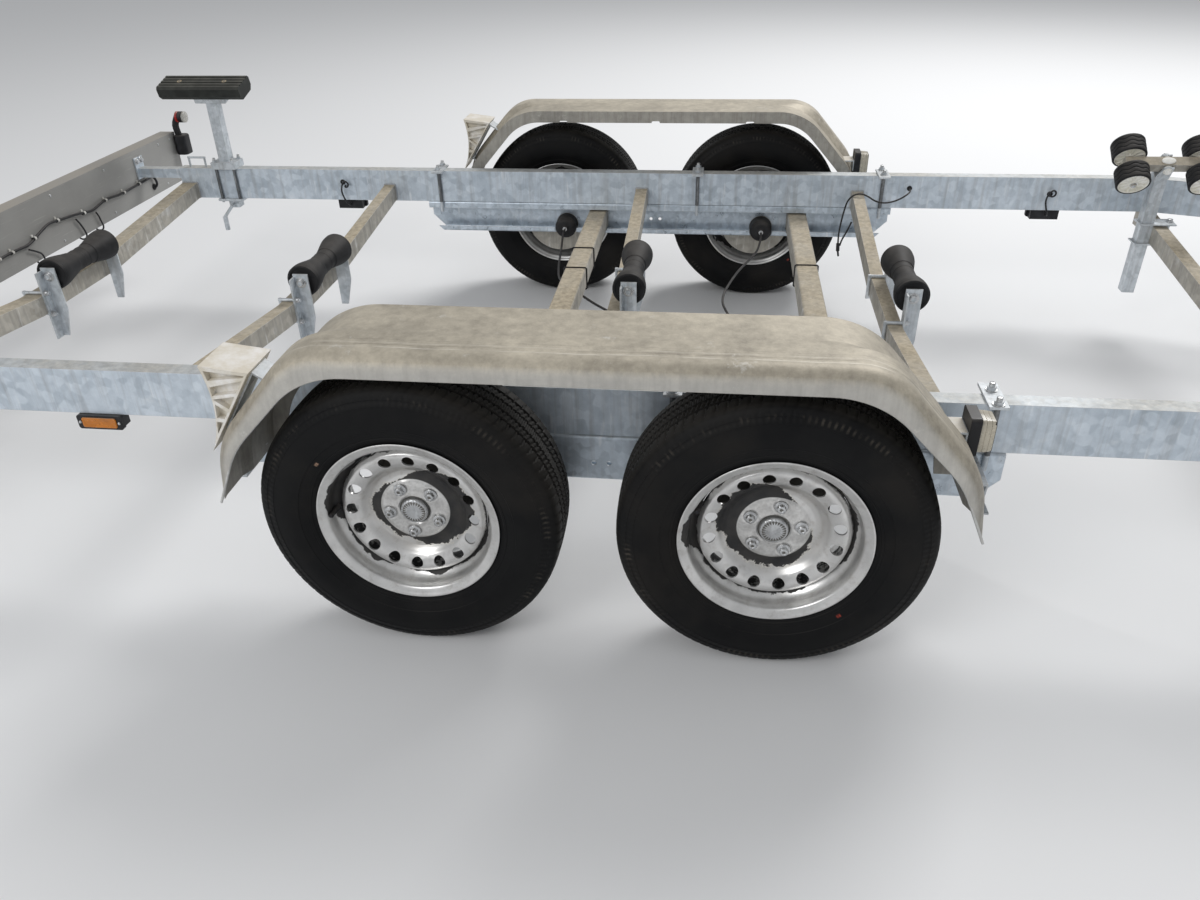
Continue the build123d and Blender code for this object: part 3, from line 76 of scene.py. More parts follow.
def linked(name, data):
    """Object with the given data, in the scene."""
    made = bpy.data.objects.new(name, data)
    bpy.context.scene.collection.objects.link(made)
    return made


def pose(side, upward, back, place):
    """Matrix of an object from its three axes and its place."""
    columns = np.eye(4)
    columns[:3] = np.stack([side, upward, back, place], axis=-1)
    return Matrix(columns.tolist())


def camera_axes(yaw, pitch, roll):
    """Right, up and forward of a camera: forward is turned by yaw and lowered by pitch, then all roll
    about it."""
    forward = np.array([math.sin(yaw) * math.cos(pitch), math.cos(yaw) * math.cos(pitch), -math.sin(pitch)])
    level_right = np.array([math.cos(yaw), -math.sin(yaw), 0.0])
    level_up = np.cross(level_right, forward)
    right = math.cos(roll) * level_right + math.sin(roll) * level_up
    up = -math.sin(roll) * level_right + math.cos(roll) * level_up
    return right, up, forward


camera_data = bpy.data.cameras.new("camera")
camera_data.lens = LENS_MM
camera_data.sensor_width = SENSOR
camera = linked("camera", camera_data)
right, up, forward = camera_axes(YAW, PITCH, ROLL)
camera.matrix_world = pose(right, up, -forward, EYE)
bpy.context.scene.camera = camera
bpy.context.scene.view_settings.view_transform = "Standard"
print("camera lens", round(LENS_MM, 2), "mm")

# %% [markdown]
# One lead on the far rail isn't clipped: it comes out of a grommet, bends over and hangs down inside the
# bay with its connector at the end. A free lead is one smooth spline in a bevelled curve. The bevel is 1 m
# deep and each point scales it down to the lead's radius, so that the curve's bound box is that of the
# lead.

# %% Loose lead
LEAD_ROUTE = [
    # x from the axles, y, z
    (0.914, 0.818, 0.477), (0.914, 0.798, 0.477), (0.909, 0.779, 0.475), (0.896, 0.763, 0.469),
    (0.875, 0.754, 0.458), (0.849, 0.753, 0.447), (0.819, 0.757, 0.441), (0.790, 0.763, 0.446),
    (0.766, 0.768, 0.461), (0.740, 0.771, 0.471), (0.714, 0.772, 0.465), (0.696, 0.773, 0.444),
    (0.689, 0.773, 0.414), (0.684, 0.774, 0.380), (0.680, 0.774, 0.344), (0.678, 0.774, 0.312),
    (0.680, 0.774, 0.284),
]
LEAD_DIAMETER = 0.006

lead_curve = bpy.data.curves.new("loose_lead_cord", "CURVE")
lead_curve.dimensions = "3D"
lead_curve.bevel_depth = 1.0
lead_curve.bevel_resolution = 4
lead_curve.resolution_u = 8
lead_curve.use_fill_caps = True
spline = lead_curve.splines.new("NURBS")
spline.points.add(len(LEAD_ROUTE) - 1)
lead_points = np.array([(AXLE_X + x, y, z, 1.0) for x, y, z in LEAD_ROUTE])
spline.points.foreach_set("co", lead_points.ravel())
spline.points.foreach_set("radius", np.full(len(LEAD_ROUTE), LEAD_DIAMETER / 2))
spline.order_u = 3
spline.use_endpoint_u = True
loose_lead = linked("loose_lead_cord", lead_curve)
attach(loose_lead, "chassis")
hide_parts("loose_lead")
print("loose lead:", len(LEAD_ROUTE), "points")

# %% [markdown]
# The stage is a plain pale floor. Its colour is what makes the background pale: the world and two large,
# soft area lamps only light the trailer. One lamp stands high at the front right, where daylight comes
# from, and a weaker one fills the near side.

# %% Floor and light
def add_area_lamp(name, place, target, size, power):
    """Square area lamp at place, turned so that it shines on target."""
    data = bpy.data.lights.new(name, "AREA")
    data.size, data.energy = size, power
    away = unit(np.subtract(place, target))
    side = unit(np.cross((0, 0, 1), away))
    linked(name, data).matrix_world = pose(side, np.cross(away, side), away, place)


FLOOR_HALF = 14.0
floor_corners = FLOOR_HALF * np.array([(-1, -1, 0), (1, -1, 0), (1, 1, 0), (-1, 1, 0)])
floor_mesh = bpy.data.meshes.new("floor")
floor_mesh.from_pydata(floor_corners.tolist(), [], [(0, 1, 2, 3)])
linked("floor", floor_mesh)
add_area_lamp("daylight", (2.4, 5.2, 7.0), (-0.6, 0.0, 0.4), 4.0, 500)
add_area_lamp("fill", (-4.6, -5.6, 4.6), (-0.8, -0.6, 0.4), 3.2, 150)

world = bpy.data.worlds.new("soft_world")
bpy.context.scene.world = world
world.use_nodes = True
sky = world.node_tree.nodes["Background"].inputs
sky["Color"].default_value = (0.95, 0.97, 1.0, 1)
sky["Strength"].default_value = 0.48

# %% [markdown]
# Every finish below is a small graph of nodes. One class keeps the graphs short: its calls add a node, join
# values, spread a value between two levels, and lay one tone after another over the colour so far. A number
# or colour that is the same all over a surface goes straight onto the shader's socket.

# %% Helpers for materials
def scaled(colour, factor, plus=0.0):
    """Colour times a factor, plus a little, at most 1."""
    return tuple(min(1.0, value * factor + plus) for value in colour)


class Finish:
    """A material with one Principled shader, the object's coordinates and the colour laid so far."""

    def __init__(self, name, **sockets):
        self.material = bpy.data.materials.new(name)
        self.material.use_nodes = True
        self.tree = self.material.node_tree
        self.shader = self.tree.nodes["Principled BSDF"]
        for socket, value in sockets.items():
            self.shader.inputs[socket.replace("_", " ")].default_value = value
        self.point = self.add("TexCoord").outputs["Object"]

    def add(self, kind, inputs=None, **settings):
        """Node of a kind; inputs maps a socket's name or number to a value or to another node's output."""
        made = self.tree.nodes.new("ShaderNode" + kind)
        for key, value in settings.items():
            setattr(made, key, value)
        for key, value in (inputs or {}).items():
            if isinstance(value, bpy.types.NodeSocket):
                self.tree.links.new(value, made.inputs[key])
            else:
                made.inputs[key].default_value = value
        return made

    def math(self, operation, value, *others, clamp=True):
        """Operation on one value, or on several one after another; clamp keeps each result in 0 to 1."""
        if not others:
            return self.add("Math", {0: value}, operation=operation).outputs[0]
        for other in others:
            value = self.add("Math", {0: value, 1: other}, operation=operation, use_clamp=clamp).outputs[0]
        return value

    def times(self, *values, clamp=True):
        """Product."""
        return self.math("MULTIPLY", *values, clamp=clamp)

    def plus(self, *values, clamp=True):
        """Sum."""
        return self.math("ADD", *values, clamp=clamp)

    def minus(self, *values, clamp=True):
        """Difference."""
        return self.math("SUBTRACT", *values, clamp=clamp)

    def vector(self, operation, *values):
        """Node of vector arithmetic."""
        return self.add("VectorMath", dict(enumerate(values)), operation=operation)

    def stretched(self, *scale):
        """Object coordinates scaled along each axis."""
        return self.vector("MULTIPLY", self.point, scale).outputs[0]

    def noise(self, scale, detail=4.0, rough=0.55, point=None):
        """Fractal noise between 0 and 1."""
        inputs = {"Vector": point or self.point, "Scale": scale, "Detail": detail, "Roughness": rough}
        return self.add("TexNoise", inputs).outputs["Fac"]

    def spread(self, value, low, high, to_low=0.0, to_high=1.0, kind="LINEAR"):
        """Value between low and high, carried to between to_low and to_high."""
        inputs = {"Value": value, "From Min": low, "From Max": high, "To Min": to_low, "To Max": to_high}
        return self.add("MapRange", inputs, clamp=True, interpolation_type=kind).outputs["Result"]

    def between(self, value, low, high, soft=0.0012):
        """1 where value lies between low and high, with soft edges."""
        above = self.spread(value, low - soft, low + soft)
        return self.times(above, self.spread(value, high - soft, high + soft, 1, 0))

    def facing_up(self, low=0.35, high=0.95):
        """How far a surface faces up, from 0 on a wall to 1 on a level top."""
        normal = self.add("NewGeometry").outputs["Normal"]
        return self.spread(self.add("SeparateXYZ", {0: normal}).outputs["Z"], low, high, kind="SMOOTHSTEP")

    def rounded(self, radius):
        """Normal with sharp edges rounded by a radius."""
        return self.add("Bevel", {"Radius": radius}, samples=3).outputs["Normal"]

    def mix(self, share, a, b):
        """Mix of two colours by share."""
        a, b = ((*tone, 1.0) if isinstance(tone, tuple) else tone for tone in (a, b))
        return self.add("Mix", {0: share, 6: a, 7: b}, data_type="RGBA").outputs[2]

    def cover(self, tone, *shares):
        """Lay a tone over the colour so far, as far as the product of the shares."""
        self.colour = self.mix(self.times(*shares) if len(shares) > 1 else shares[0], self.colour, tone)

    def plug(self, socket, output):
        """Link an output to one of the shader's sockets."""
        self.tree.links.new(output, self.shader.inputs[socket])

    def done(self, rough, height, strength, distance, soft_edge=None):
        """Plug in the colour, the roughness and a bump from a height, and return the material."""
        inputs = {"Height": height, "Strength": strength, "Distance": distance}
        if soft_edge:
            inputs["Normal"] = self.rounded(soft_edge)
        self.plug("Base Color", self.colour)
        self.plug("Roughness", rough)
        self.plug("Normal", self.add("Bump", inputs).outputs["Normal"])
        return self.material


# %% [markdown]
# Hot-dip galvanised steel carries spangles: flat crystals a few centimetres across, each at its own slant,
# so each reflects a little more or less light. A soft Voronoi pattern gives every crystal one random value,
# which moves both the grey and the roughness. A finer mottling, pale slanting rub marks, white bloom and
# brown dust on level tops lie over it. Edges are rubbed bright: the shader compares the real normal with a
# rounded one.

# %% Galvanised steel
def galvanised(name, light, dark, dust, crystal=46.0, metal=0.62, dust_colour=(0.34, 0.30, 0.245),
               rough=(0.30, 0.54), streaks=0.35, worn=0.6):
    """Spangled zinc with dust on level tops."""
    f = Finish(name, Metallic=metal)
    cells = f.add("TexVoronoi", {"Vector": f.point, "Scale": crystal, "Smoothness": 0.35},
                  feature="SMOOTH_F1")
    spangle = f.add("SeparateColor", {0: cells.outputs["Color"]}).outputs[0]
    mottle = f.noise(38, 6, 0.7)
    shade = f.plus(f.times(spangle, 0.26), f.times(f.noise(5.5, 5), 0.44), f.times(mottle, 0.40))
    f.colour = f.mix(f.spread(shade, 0.32, 0.78), dark, light)
    bloom = f.spread(f.noise(11, 6, 0.65), 0.60, 0.74)
    f.cover((0.82, 0.85, 0.87), bloom, 0.45)
    slanted = f.add("Mapping", {"Vector": f.point, "Rotation": (0.0, 0.6, 0.3), "Scale": (70, 70, 9)})
    rub_marks = f.spread(f.noise(1.0, 5, 0.6, slanted.outputs["Vector"]), 0.60, 0.70)
    f.cover((0.86, 0.88, 0.90), rub_marks, 0.45)
    runs = f.spread(f.noise(1.0, 5, 0.6, f.stretched(60, 60, 3.5)), 0.48, 0.68)
    f.cover((0.235, 0.225, 0.21), runs, streaks)
    patch = f.spread(f.noise(4.2, 7, 0.66), 0.30, 0.62, 0.5, 1.0)
    dusty = f.times(f.facing_up(), patch, dust)
    fleck = f.spread(f.noise(60, 4, 0.7), 0.35, 0.70)
    f.cover(f.mix(fleck, scaled(dust_colour, 0.72), scaled(dust_colour, 1.25)), dusty)
    real = f.add("NewGeometry").outputs["Normal"]
    alike = f.vector("DOT_PRODUCT", real, f.rounded(0.0022)).outputs["Value"]
    f.cover((0.78, 0.775, 0.75), f.spread(alike, 0.86, 0.995, 1, 0), worn)
    base_rough = f.spread(f.plus(spangle, mottle), 0.3, 1.5, *rough)
    grain = f.plus(f.noise(240, 2), f.times(mottle, 1.2, clamp=False), clamp=False)
    return f.done(f.plus(base_rough, f.times(dusty, 0.35)), grain, 0.22, 0.0012, 0.0016)


rail_zinc = galvanised("rail_zinc", (0.73, 0.80, 0.87), (0.42, 0.485, 0.55), 0.72,
                       dust_colour=(0.46, 0.425, 0.36), metal=0.42, rough=(0.34, 0.56), streaks=0.3)
beam_zinc = galvanised("beam_zinc", (0.56, 0.53, 0.47), (0.31, 0.29, 0.25), 0.95,
                       dust_colour=(0.47, 0.405, 0.30), metal=0.35, rough=(0.5, 0.7), streaks=0.5)
small_zinc = galvanised("small_zinc", (0.74, 0.78, 0.82), (0.43, 0.47, 0.50), 0.3, crystal=80, metal=0.5,
                        rough=(0.42, 0.6))
blue_zinc = galvanised("blue_zinc", (0.72, 0.80, 0.88), (0.38, 0.44, 0.50), 0.3, crystal=60, metal=0.55,
                       rough=(0.24, 0.46), streaks=0.15, worn=0.85)

# %% [markdown]
# The fenders are the same zinc, but the broad tops have weathered: a beige-grey veil with white lime spots
# and fine upright streaks on the rolled side. Pale and dark lines along the shoulder are painted highlights and
# painted shade of its creases, a pale band along the outer edge is a painted highlight, and the underside
# stays dark.

# %% Fender finish
# Pale lines are painted highlights and dark lines painted shade of the shoulder's creases.
CREASE_HIGHLIGHTS_AND_SHADE = [
    # from and to, in metres from the outer edge; colour; share
    (0.030, 0.034, (0.62, 0.58, 0.50), 0.75), (0.041, 0.044, (0.17, 0.15, 0.12), 0.6),
    (0.050, 0.053, (0.60, 0.56, 0.48), 0.5), (0.064, 0.066, (0.20, 0.18, 0.15), 0.4),
]


def fender_finish(name, outer_y):
    """Weathered zinc sheet: crease lines, painted highlights and painted shade, lie at set distances from the
    outer edge and wander a little.
    """
    f = Finish(name, Metallic=0.35)
    fine_cloud = f.noise(42, 6, 0.72)
    shade = f.plus(f.times(f.noise(5, 7, 0.64), 0.6), f.times(fine_cloud, 0.5))
    tone = f.spread(shade, 0.36, 0.72)
    veil = f.mix(tone, (0.29, 0.256, 0.20), (0.60, 0.54, 0.43))
    level = f.facing_up(-0.1, 0.55)
    f.colour = f.mix(tone, (0.27, 0.258, 0.235), (0.53, 0.51, 0.46))
    f.cover(veil, level, 0.9)
    across = f.add("SeparateXYZ", {0: f.point}).outputs["Y"]
    distance = f.math("ABSOLUTE", f.minus(across, outer_y, clamp=False))
    sway = f.times(f.noise(1.0, point=f.stretched(5, 0, 5)), 0.020, clamp=False)
    crease_at = f.minus(distance, sway, clamp=False)
    broken = f.spread(f.noise(1.0, point=f.stretched(16, 60, 16)), 0.36, 0.56)
    # painted highlight and shade lines of the creases
    for low, high, colour, share in CREASE_HIGHLIGHTS_AND_SHADE:
        f.cover(colour, f.between(crease_at, low, high, 0.0009), broken, level, share)
    runs = f.spread(f.noise(1.0, 5, 0.65, f.stretched(85, 85, 5)), 0.44, 0.66)
    f.cover((0.215, 0.195, 0.165), runs, f.minus(1.0, f.facing_up(0.45, 0.95)), 0.42)
    lime = f.spread(f.noise(19, 5, 0.75), 0.63, 0.72, 0, 0.6)
    f.cover((0.62, 0.60, 0.55), lime)
    # A pale band within 7 mm of the outer edge: a painted highlight of the rolled edge.
    f.cover((0.70, 0.69, 0.66), f.spread(distance, 0.0015, 0.007, 1, 0), 0.35)
    fine = f.plus(f.noise(190, 3), f.times(fine_cloud, 1.5, clamp=False), clamp=False)
    return f.done(f.spread(shade, 0.3, 0.8, 0.48, 0.68), fine, 0.25, 0.0015, 0.002)


# %% [markdown]
# Rubber and plastic look flat when their colour is even. Dust settles on level tops and in the grain, wear
# lightens patches, and a fine noise in the bump breaks up the highlights.

# %% Rubber and plastic
def dusty_rubber(name, base, dust=0.3, dust_colour=(0.20, 0.175, 0.145), rough=0.62, grain=160,
                 soft_edge=0.0012):
    """Matt rubber or plastic with worn patches and dust on its tops."""
    f = Finish(name, Specular_IOR_Level=0.3)
    cloud = f.noise(22, 6, 0.6)
    f.colour = f.mix(f.spread(cloud, 0.45, 0.75), base, scaled(base, 1.9, 0.012))
    f.cover(dust_colour, f.facing_up(0.1, 1.0), f.spread(cloud, 0.25, 0.7, 0.3, 1), dust)
    rough_patches = f.spread(cloud, 0.3, 0.7, rough - 0.08, rough + 0.12)
    return f.done(rough_patches, f.noise(grain, 3), 0.25, 0.0008, soft_edge)


black_rubber = dusty_rubber("black_rubber", (0.010, 0.010, 0.011), 0.22)
black_plastic = dusty_rubber("black_plastic", (0.012, 0.012, 0.014), 0.25, rough=0.42, grain=300)
cream_plastic = dusty_rubber("cream_plastic", (0.70, 0.65, 0.55), dust_colour=(0.50, 0.43, 0.34), rough=0.5)
cable_rubber = dusty_rubber("cable_rubber", (0.018, 0.017, 0.017), rough=0.5, soft_edge=None)
lead_curve.materials.append(cable_rubber)
print("finishes so far:", len(bpy.data.materials))

# %% [markdown]
# The light board is a folded sheet with a satin grey coat. Its level flange is beige with dust, and faint
# scratches run along it.

# %% Painted sheet
def painted_sheet(name, base, dust_colour=(0.33, 0.29, 0.235), dust=0.75):
    """Satin paint with long faint scratches and dust on its flanges."""
    f = Finish(name, Metallic=0.12)
    cloud = f.noise(4, 6, 0.6)
    f.colour = f.mix(f.spread(cloud, 0.3, 0.7), scaled(base, 0.80), base)
    scratch = f.spread(f.noise(2.5, 6, 0.7, f.stretched(60, 2.2, 60)), 0.60, 0.68)
    f.cover((0.56, 0.54, 0.50), scratch, 0.28)
    f.cover(dust_colour, f.facing_up(), f.spread(cloud, 0.2, 0.7, 0.5, 1), dust)
    return f.done(f.spread(cloud, 0.3, 0.7, 0.42, 0.6), f.noise(120, 3), 0.12, 0.0008, 0.0015)


board_paint = painted_sheet("board_paint", (0.33, 0.325, 0.31))
dark_coat = painted_sheet("dark_coat", (0.055, 0.055, 0.06), dust_colour=(0.16, 0.145, 0.125), dust=0.5)

# %% [markdown]
# A solid of the model keeps its shape and only takes a finish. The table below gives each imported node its
# material by the name of its slot, with a few exceptions by node.

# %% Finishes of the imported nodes
SLOT_FINISH = {
    "galvanised": rail_zinc, "painted_board": board_paint, "black_rubber": black_rubber,
    "roller_rubber": black_rubber, "tyre": black_rubber, "rim_paint": small_zinc, "hub_steel": small_zinc,
    "black_plastic": black_plastic, "lamp_plastic": black_plastic, "cream_plastic": cream_plastic,
    "coupling_paint": dark_coat, "jockey_rubber": black_rubber, "winch_zinc": small_zinc,
}


def dress(node, material):
    """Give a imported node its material."""
    materials = frame["nodes"][node].data.materials
    materials.clear()
    materials.append(material)


for row in frame["record"]["subparts"]:
    dress(row["node"], SLOT_FINISH.get(row["material_slot"], small_zinc))
for node in ("crossmembers", "axle_tubes", "trailing_arms"):
    dress(node, beam_zinc)
dress("axle_carriers", blue_zinc)
for side_name, sign in SIDES:
    dress(f"fender_{side_name}", fender_finish(f"fender_finish_{side_name}", sign * 1.150))
for node in ("keel_roller_brackets", "rail_clamps", "board_lock_handles", "fender_brackets"):
    dress(node, small_zinc)

# %% [markdown]
# New pieces are surfaces worked out with numpy. A grid of points comes from a formula in two parameters,
# and one helper numbers its faces. A second helper joins several such surfaces into one finished piece,
# merges the points of closed poles, turns all faces outwards, and keeps edges sharp only where the surface
# really folds.

# %% Helpers for surfaces
def at(x, y, z):
    """Place in metres from mm; x is counted from the point midway between the axles."""
    return AXLE_X + x * MM, y * MM, z * MM


def points_at(x, y, z):
    """Points (n, 3) in metres from numbers and arrays in mm."""
    return np.stack(np.broadcast_arrays(*at(x, y, z)), axis=-1)


def turns(steps):
    """Evenly spaced directions round a full turn, as a column."""
    return np.linspace(0, 2 * np.pi, steps, endpoint=False)[:, None]


def surface(points, close_rows=False, close_columns=False):
    """(points, faces) of a grid of points with the shape (rows, columns, 3): points are numbered row by
    row, and a closed way joins its last line to its first."""
    rows, columns = points.shape[:2]
    i, j = np.meshgrid(np.arange(rows if close_rows else rows - 1),
                       np.arange(columns if close_columns else columns - 1), indexing="ij")
    below, beside = (i + 1) % rows, (j + 1) % columns
    corners = [i * columns + j, i * columns + beside, below * columns + beside, below * columns + j]
    return points.reshape(-1, 3), np.stack(corners, axis=-1).reshape(-1, 4)


def turned(radius, along, centre=(0, 0, 0), steps=96, axis="y"):
    """Surface of revolution: a point at angle t lies radius away from the axis and along it by the second
    value. Radius and along are in mm, as a profile or as one row for each of the steps; centre is in
    metres."""
    radius, along = np.atleast_2d(radius) * MM, np.atleast_2d(along) * MM
    first, second = radius * np.cos(turns(steps)), radius * np.sin(turns(steps))
    along = along + 0 * turns(steps)
    order = {"x": (along, first, second), "y": (second, along, first), "z": (first, second, along)}[axis]
    return surface(np.stack(order, axis=-1) + np.asarray(centre), close_rows=True)


def lathe(profile, way=1, centre=(0, 0, 0), steps=96, axis="y"):
    """Surface of revolution of a profile of (radius, run along the axis) in mm; way -1 runs against the
    axis."""
    return turned(profile[:, 0], way * profile[:, 1], centre, steps, axis)


def swept(path, outline, reference=(0, 0, 1)):
    """Outline carried along a path: at each point of the path the outline (n, 2) lies in the plane across the
    path, its first axis level with the reference. All in metres. Its ends are closed by a centre point."""
    path = np.asarray(path, float)
    ahead = unit(np.gradient(path, axis=0))
    across = unit(np.cross(ahead, reference))
    upward = np.cross(across, ahead)
    grid = path[:, None] + across[:, None] * outline[None, :, :1] + upward[:, None] * outline[None, :, 1:]
    ends = [np.repeat(grid[i].mean(axis=0)[None, None], len(outline), axis=1) for i in (0, -1)]
    return surface(np.concatenate([ends[0], grid, ends[1]]), close_columns=True)


def oval(width, height, sides):
    """Points of an ellipse (n, 2) from its two half widths."""
    return np.concatenate([width * np.cos(turns(sides)), height * np.sin(turns(sides))], axis=1)


def rounded_rectangle(width, height, corner, steps=5):
    """Points of a rectangle with round corners (n, 2), centred on zero."""
    quarter = np.linspace(0, np.pi / 2, steps)
    corners = [(1, 1, 0), (-1, 1, 1), (-1, -1, 2), (1, -1, 3)]
    parts = [np.stack([sx * (width / 2 - corner) + corner * np.cos(quarter + k * np.pi / 2),
                       sy * (height / 2 - corner) + corner * np.sin(quarter + k * np.pi / 2)], axis=-1)
             for sx, sy, k in corners]
    return np.concatenate(parts)


def repeated(shape, places):
    """Copies of one small shape at many places, joined as one array."""
    points, faces = shape
    places = np.asarray(places, float)
    starts = len(points) * np.arange(len(places))[:, None, None]
    return (places[:, None] + points[None]).reshape(-1, 3), (faces[None] + starts).reshape(-1, 4)


def piece(name, shapes, body, replaces=(), fold=34):
    """Finished piece from a list of (shape, material): points merged, faces outwards, folds above an angle
    sharp."""
    mesh = bpy.data.meshes.new(name)
    points, faces, numbers, materials = [], [], [], []
    start = 0
    for (shape_points, shape_faces), material in shapes:
        if material not in materials:
            materials.append(material)
            mesh.materials.append(material)
        points.append(shape_points)
        faces.extend((shape_faces + start).tolist())
        numbers.extend([materials.index(material)] * len(shape_faces))
        start += len(shape_points)
    mesh.from_pydata(np.concatenate(points).tolist(), [], faces)
    mesh.polygons.foreach_set("material_index", numbers)
    work = bmesh.new()
    work.from_mesh(mesh)
    bmesh.ops.remove_doubles(work, verts=work.verts, dist=0.00002)
    bmesh.ops.recalc_face_normals(work, faces=work.faces)
    work.to_mesh(mesh)
    work.free()
    mesh.polygons.foreach_set("use_smooth", [True] * len(mesh.polygons))
    mesh.set_sharp_from_angle(angle=math.radians(fold))
    made = linked(name, mesh)
    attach(made, body)
    if replaces:
        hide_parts(*replaces)
    return made


# %% [markdown]
# The tyre is one surface of revolution whose radius also depends on the angle. Its profile runs from bead
# to bead: side wall, shoulder, five ribs and four grooves. Cross slots cut the shoulders into blocks and
# small notches roughen the ribs, so the tread is real geometry. The side walls carry fine rings, and no
# lettering.

# %% Tyre surface
WHEEL_X, WHEEL_Y, WHEEL_Z = 376.0, 1038.0, 321.0
PITCHES = 90                     # tread blocks round the tyre
STEPS_A_PITCH = 8
SLOT_DEPTH, SLOT_SLANT = 4.5, 7.0
RIBS_END, MIDDLE_RIB_END, GROOVE_SWAY = 44, 9, 2.8
HALF_TYRE = np.array([
    # radius, offset from the middle, depth of a groove here, share of the cross slots here
    (321.0, 0.0, 0, 0.7), (321.0, 10.5, 0, 0.7), (321.0, 12.0, 8, 0.0), (321.0, 16.5, 8, 0.0),
    (320.8, 18.0, 0, 0.8), (320.6, 27.0, 0, 0.8), (320.4, 36.0, 0, 0.8), (320.3, 37.5, 8, 0.0),
    (320.2, 42.5, 8, 0.0), (320.0, 44.0, 0, 0.8), (319.4, 54.0, 0, 0.7), (318.4, 64.0, 0, 0.6),
    (316.6, 71.0, 0, 0.5), (313.0, 76.5, 0, 0.4), (308.0, 80.5, 0, 0.3), (302.0, 83.6, 0, 0.2),
    (297.5, 85.6, 0, 0.1), (296.0, 84.9, 0, 0.0), (291.0, 86.6, 0, 0.0), (289.8, 87.6, 0, 0.0),
    (283.0, 89.5, 0, 0.0), (281.8, 88.9, 0, 0.0), (268.0, 91.8, 0, 0.0), (255.0, 93.0, 0, 0.0),
    (242.0, 92.4, 0, 0.0), (230.0, 90.4, 0, 0.0), (229.0, 89.2, 0, 0.0), (220.0, 86.6, 0, 0.0),
    (211.0, 83.0, 0, 0.0), (210.0, 83.6, 0, 0.0), (205.0, 81.6, 0, 0.0), (204.0, 80.2, 0, 0.0),
    (197.0, 77.0, 0, 0.0), (188.0, 74.5, 0, 0.0), (179.0, 72.0, 0, 0.0),
])


def tyre_surface(x, sign):
    """Radius = profile - groove depth - slot depth x slot share x slot(t), where slot(t) is 1 in one step
    of each pitch; on the ribs the slot slants with the offset, and the grooves wander by a triangle wave
    of the angle."""
    radius, offset, depth, share = np.concatenate([HALF_TYRE[::-1] * (1, -1, 1, 1), HALF_TYRE[1:]]).T
    steps = PITCHES * STEPS_A_PITCH
    step = np.arange(steps)[:, None]
    phase = (step + np.round(offset / SLOT_SLANT)[None, :]) % STEPS_A_PITCH
    off = np.abs(offset)
    slot = (phase == 0) | (phase == STEPS_A_PITCH // 2) & (off < RIBS_END)
    wave = (np.abs(step % STEPS_A_PITCH - STEPS_A_PITCH / 2) / (STEPS_A_PITCH / 2) - 0.5) * GROOVE_SWAY
    cut = slot * share * SLOT_DEPTH
    wander = np.where((depth > 0) | (off < RIBS_END) & (off > MIDDLE_RIB_END), wave, 0.0)
    return turned(radius - depth - cut, sign * (offset + wander), at(x, sign * WHEEL_Y, WHEEL_Z), steps)


def around_wheel(f, x):
    """Distance from a wheel's axle line (metres) and the angle about it (radians, 0 ahead, rising
    upwards)."""
    offset = f.vector("SUBTRACT", f.point, at(x, 0, WHEEL_Z)).outputs[0]
    flat = f.vector("MULTIPLY", offset, (1, 0, 1)).outputs[0]
    parts = f.add("SeparateXYZ", {0: flat}).outputs
    return f.vector("LENGTH", flat).outputs["Value"], f.math("ARCTAN2", parts["Z"], parts["X"], clamp=False)


def towards(f, angle, degrees):
    """Cosine of the turn from one direction about the axle."""
    return f.math("COSINE", f.minus(angle, math.radians(degrees), clamp=False))


def tyre_rubber(name, x, dot_degrees, dot_colour):
    """Black tyre rubber with brownish dust, fine ribs at the shoulder, worn dashes and one painted dot."""
    f = Finish(name, Specular_IOR_Level=0.15)
    radius, angle = around_wheel(f, x)
    cloud = f.noise(9, 6, 0.6)
    f.colour = f.mix(f.spread(cloud, 0.35, 0.75), (0.0036, 0.0038, 0.0044), (0.0100, 0.0100, 0.0100))
    f.cover((0.024, 0.023, 0.021), f.spread(radius, 0.3125, 0.3165), 0.8)
    f.cover((0.022, 0.019, 0.016), f.spread(f.noise(4, 5), 0.50, 0.68), 0.5)
    ribs = f.math("SINE", f.times(angle, 150.0, clamp=False))
    dashes = f.times(f.between(radius, 0.2895, 0.3005, 0.003), f.spread(ribs, -0.2, 0.8))
    f.cover((0.095, 0.083, 0.068), dashes, f.spread(f.noise(11, 6, 0.7), 0.50, 0.66), 0.6)
    f.cover((0.10, 0.09, 0.077), f.facing_up(0.2, 1.0), f.spread(cloud, 0.3, 0.7, 0.2, 1), 0.16)
    in_direction = f.spread(towards(f, angle, dot_degrees), 0.99970, 0.99988)
    dot = f.times(in_direction, f.between(radius, 0.2175, 0.2235))
    f.cover(dot_colour, dot, f.spread(f.noise(300), 0.3, 0.6))
    shoulder = f.times(ribs, f.between(radius, 0.283, 0.303), clamp=False)
    fine = f.plus(f.noise(260, 3), shoulder, clamp=False)
    return f.done(f.spread(cloud, 0.3, 0.7, 0.50, 0.66), fine, 0.3, 0.0008)


DOTS = {"rear": (139.7, (0.42, 0.27, 0.19)), "front": (-49.9, (0.30, 0.045, 0.03))}
for place, x in (("rear", -WHEEL_X), ("front", WHEEL_X)):
    rubber_tyre = tyre_rubber(f"rubber_tyre_{place}", x, *DOTS[place])
    for side_name, sign in SIDES:
        made = piece(f"tyre_tread_{place}_{side_name}", [(tyre_surface(x, sign), rubber_tyre)],
                     f"wheel_{place}_{side_name}", [f"tyre_{place}_{side_name}"], fold=28)
print("tyre faces", len(made.data.polygons))

# %% [markdown]
# The rim is one steel pressing welded into a rolled barrel. Both are surfaces of revolution, but the disc
# has a ring of vents and a wavy seat round the hub. Each vent gets its own patch: a grid that runs round
# the hole and from the hole's edge out to the borders of its sector, so that sixteen patches close the ring
# without a seam.

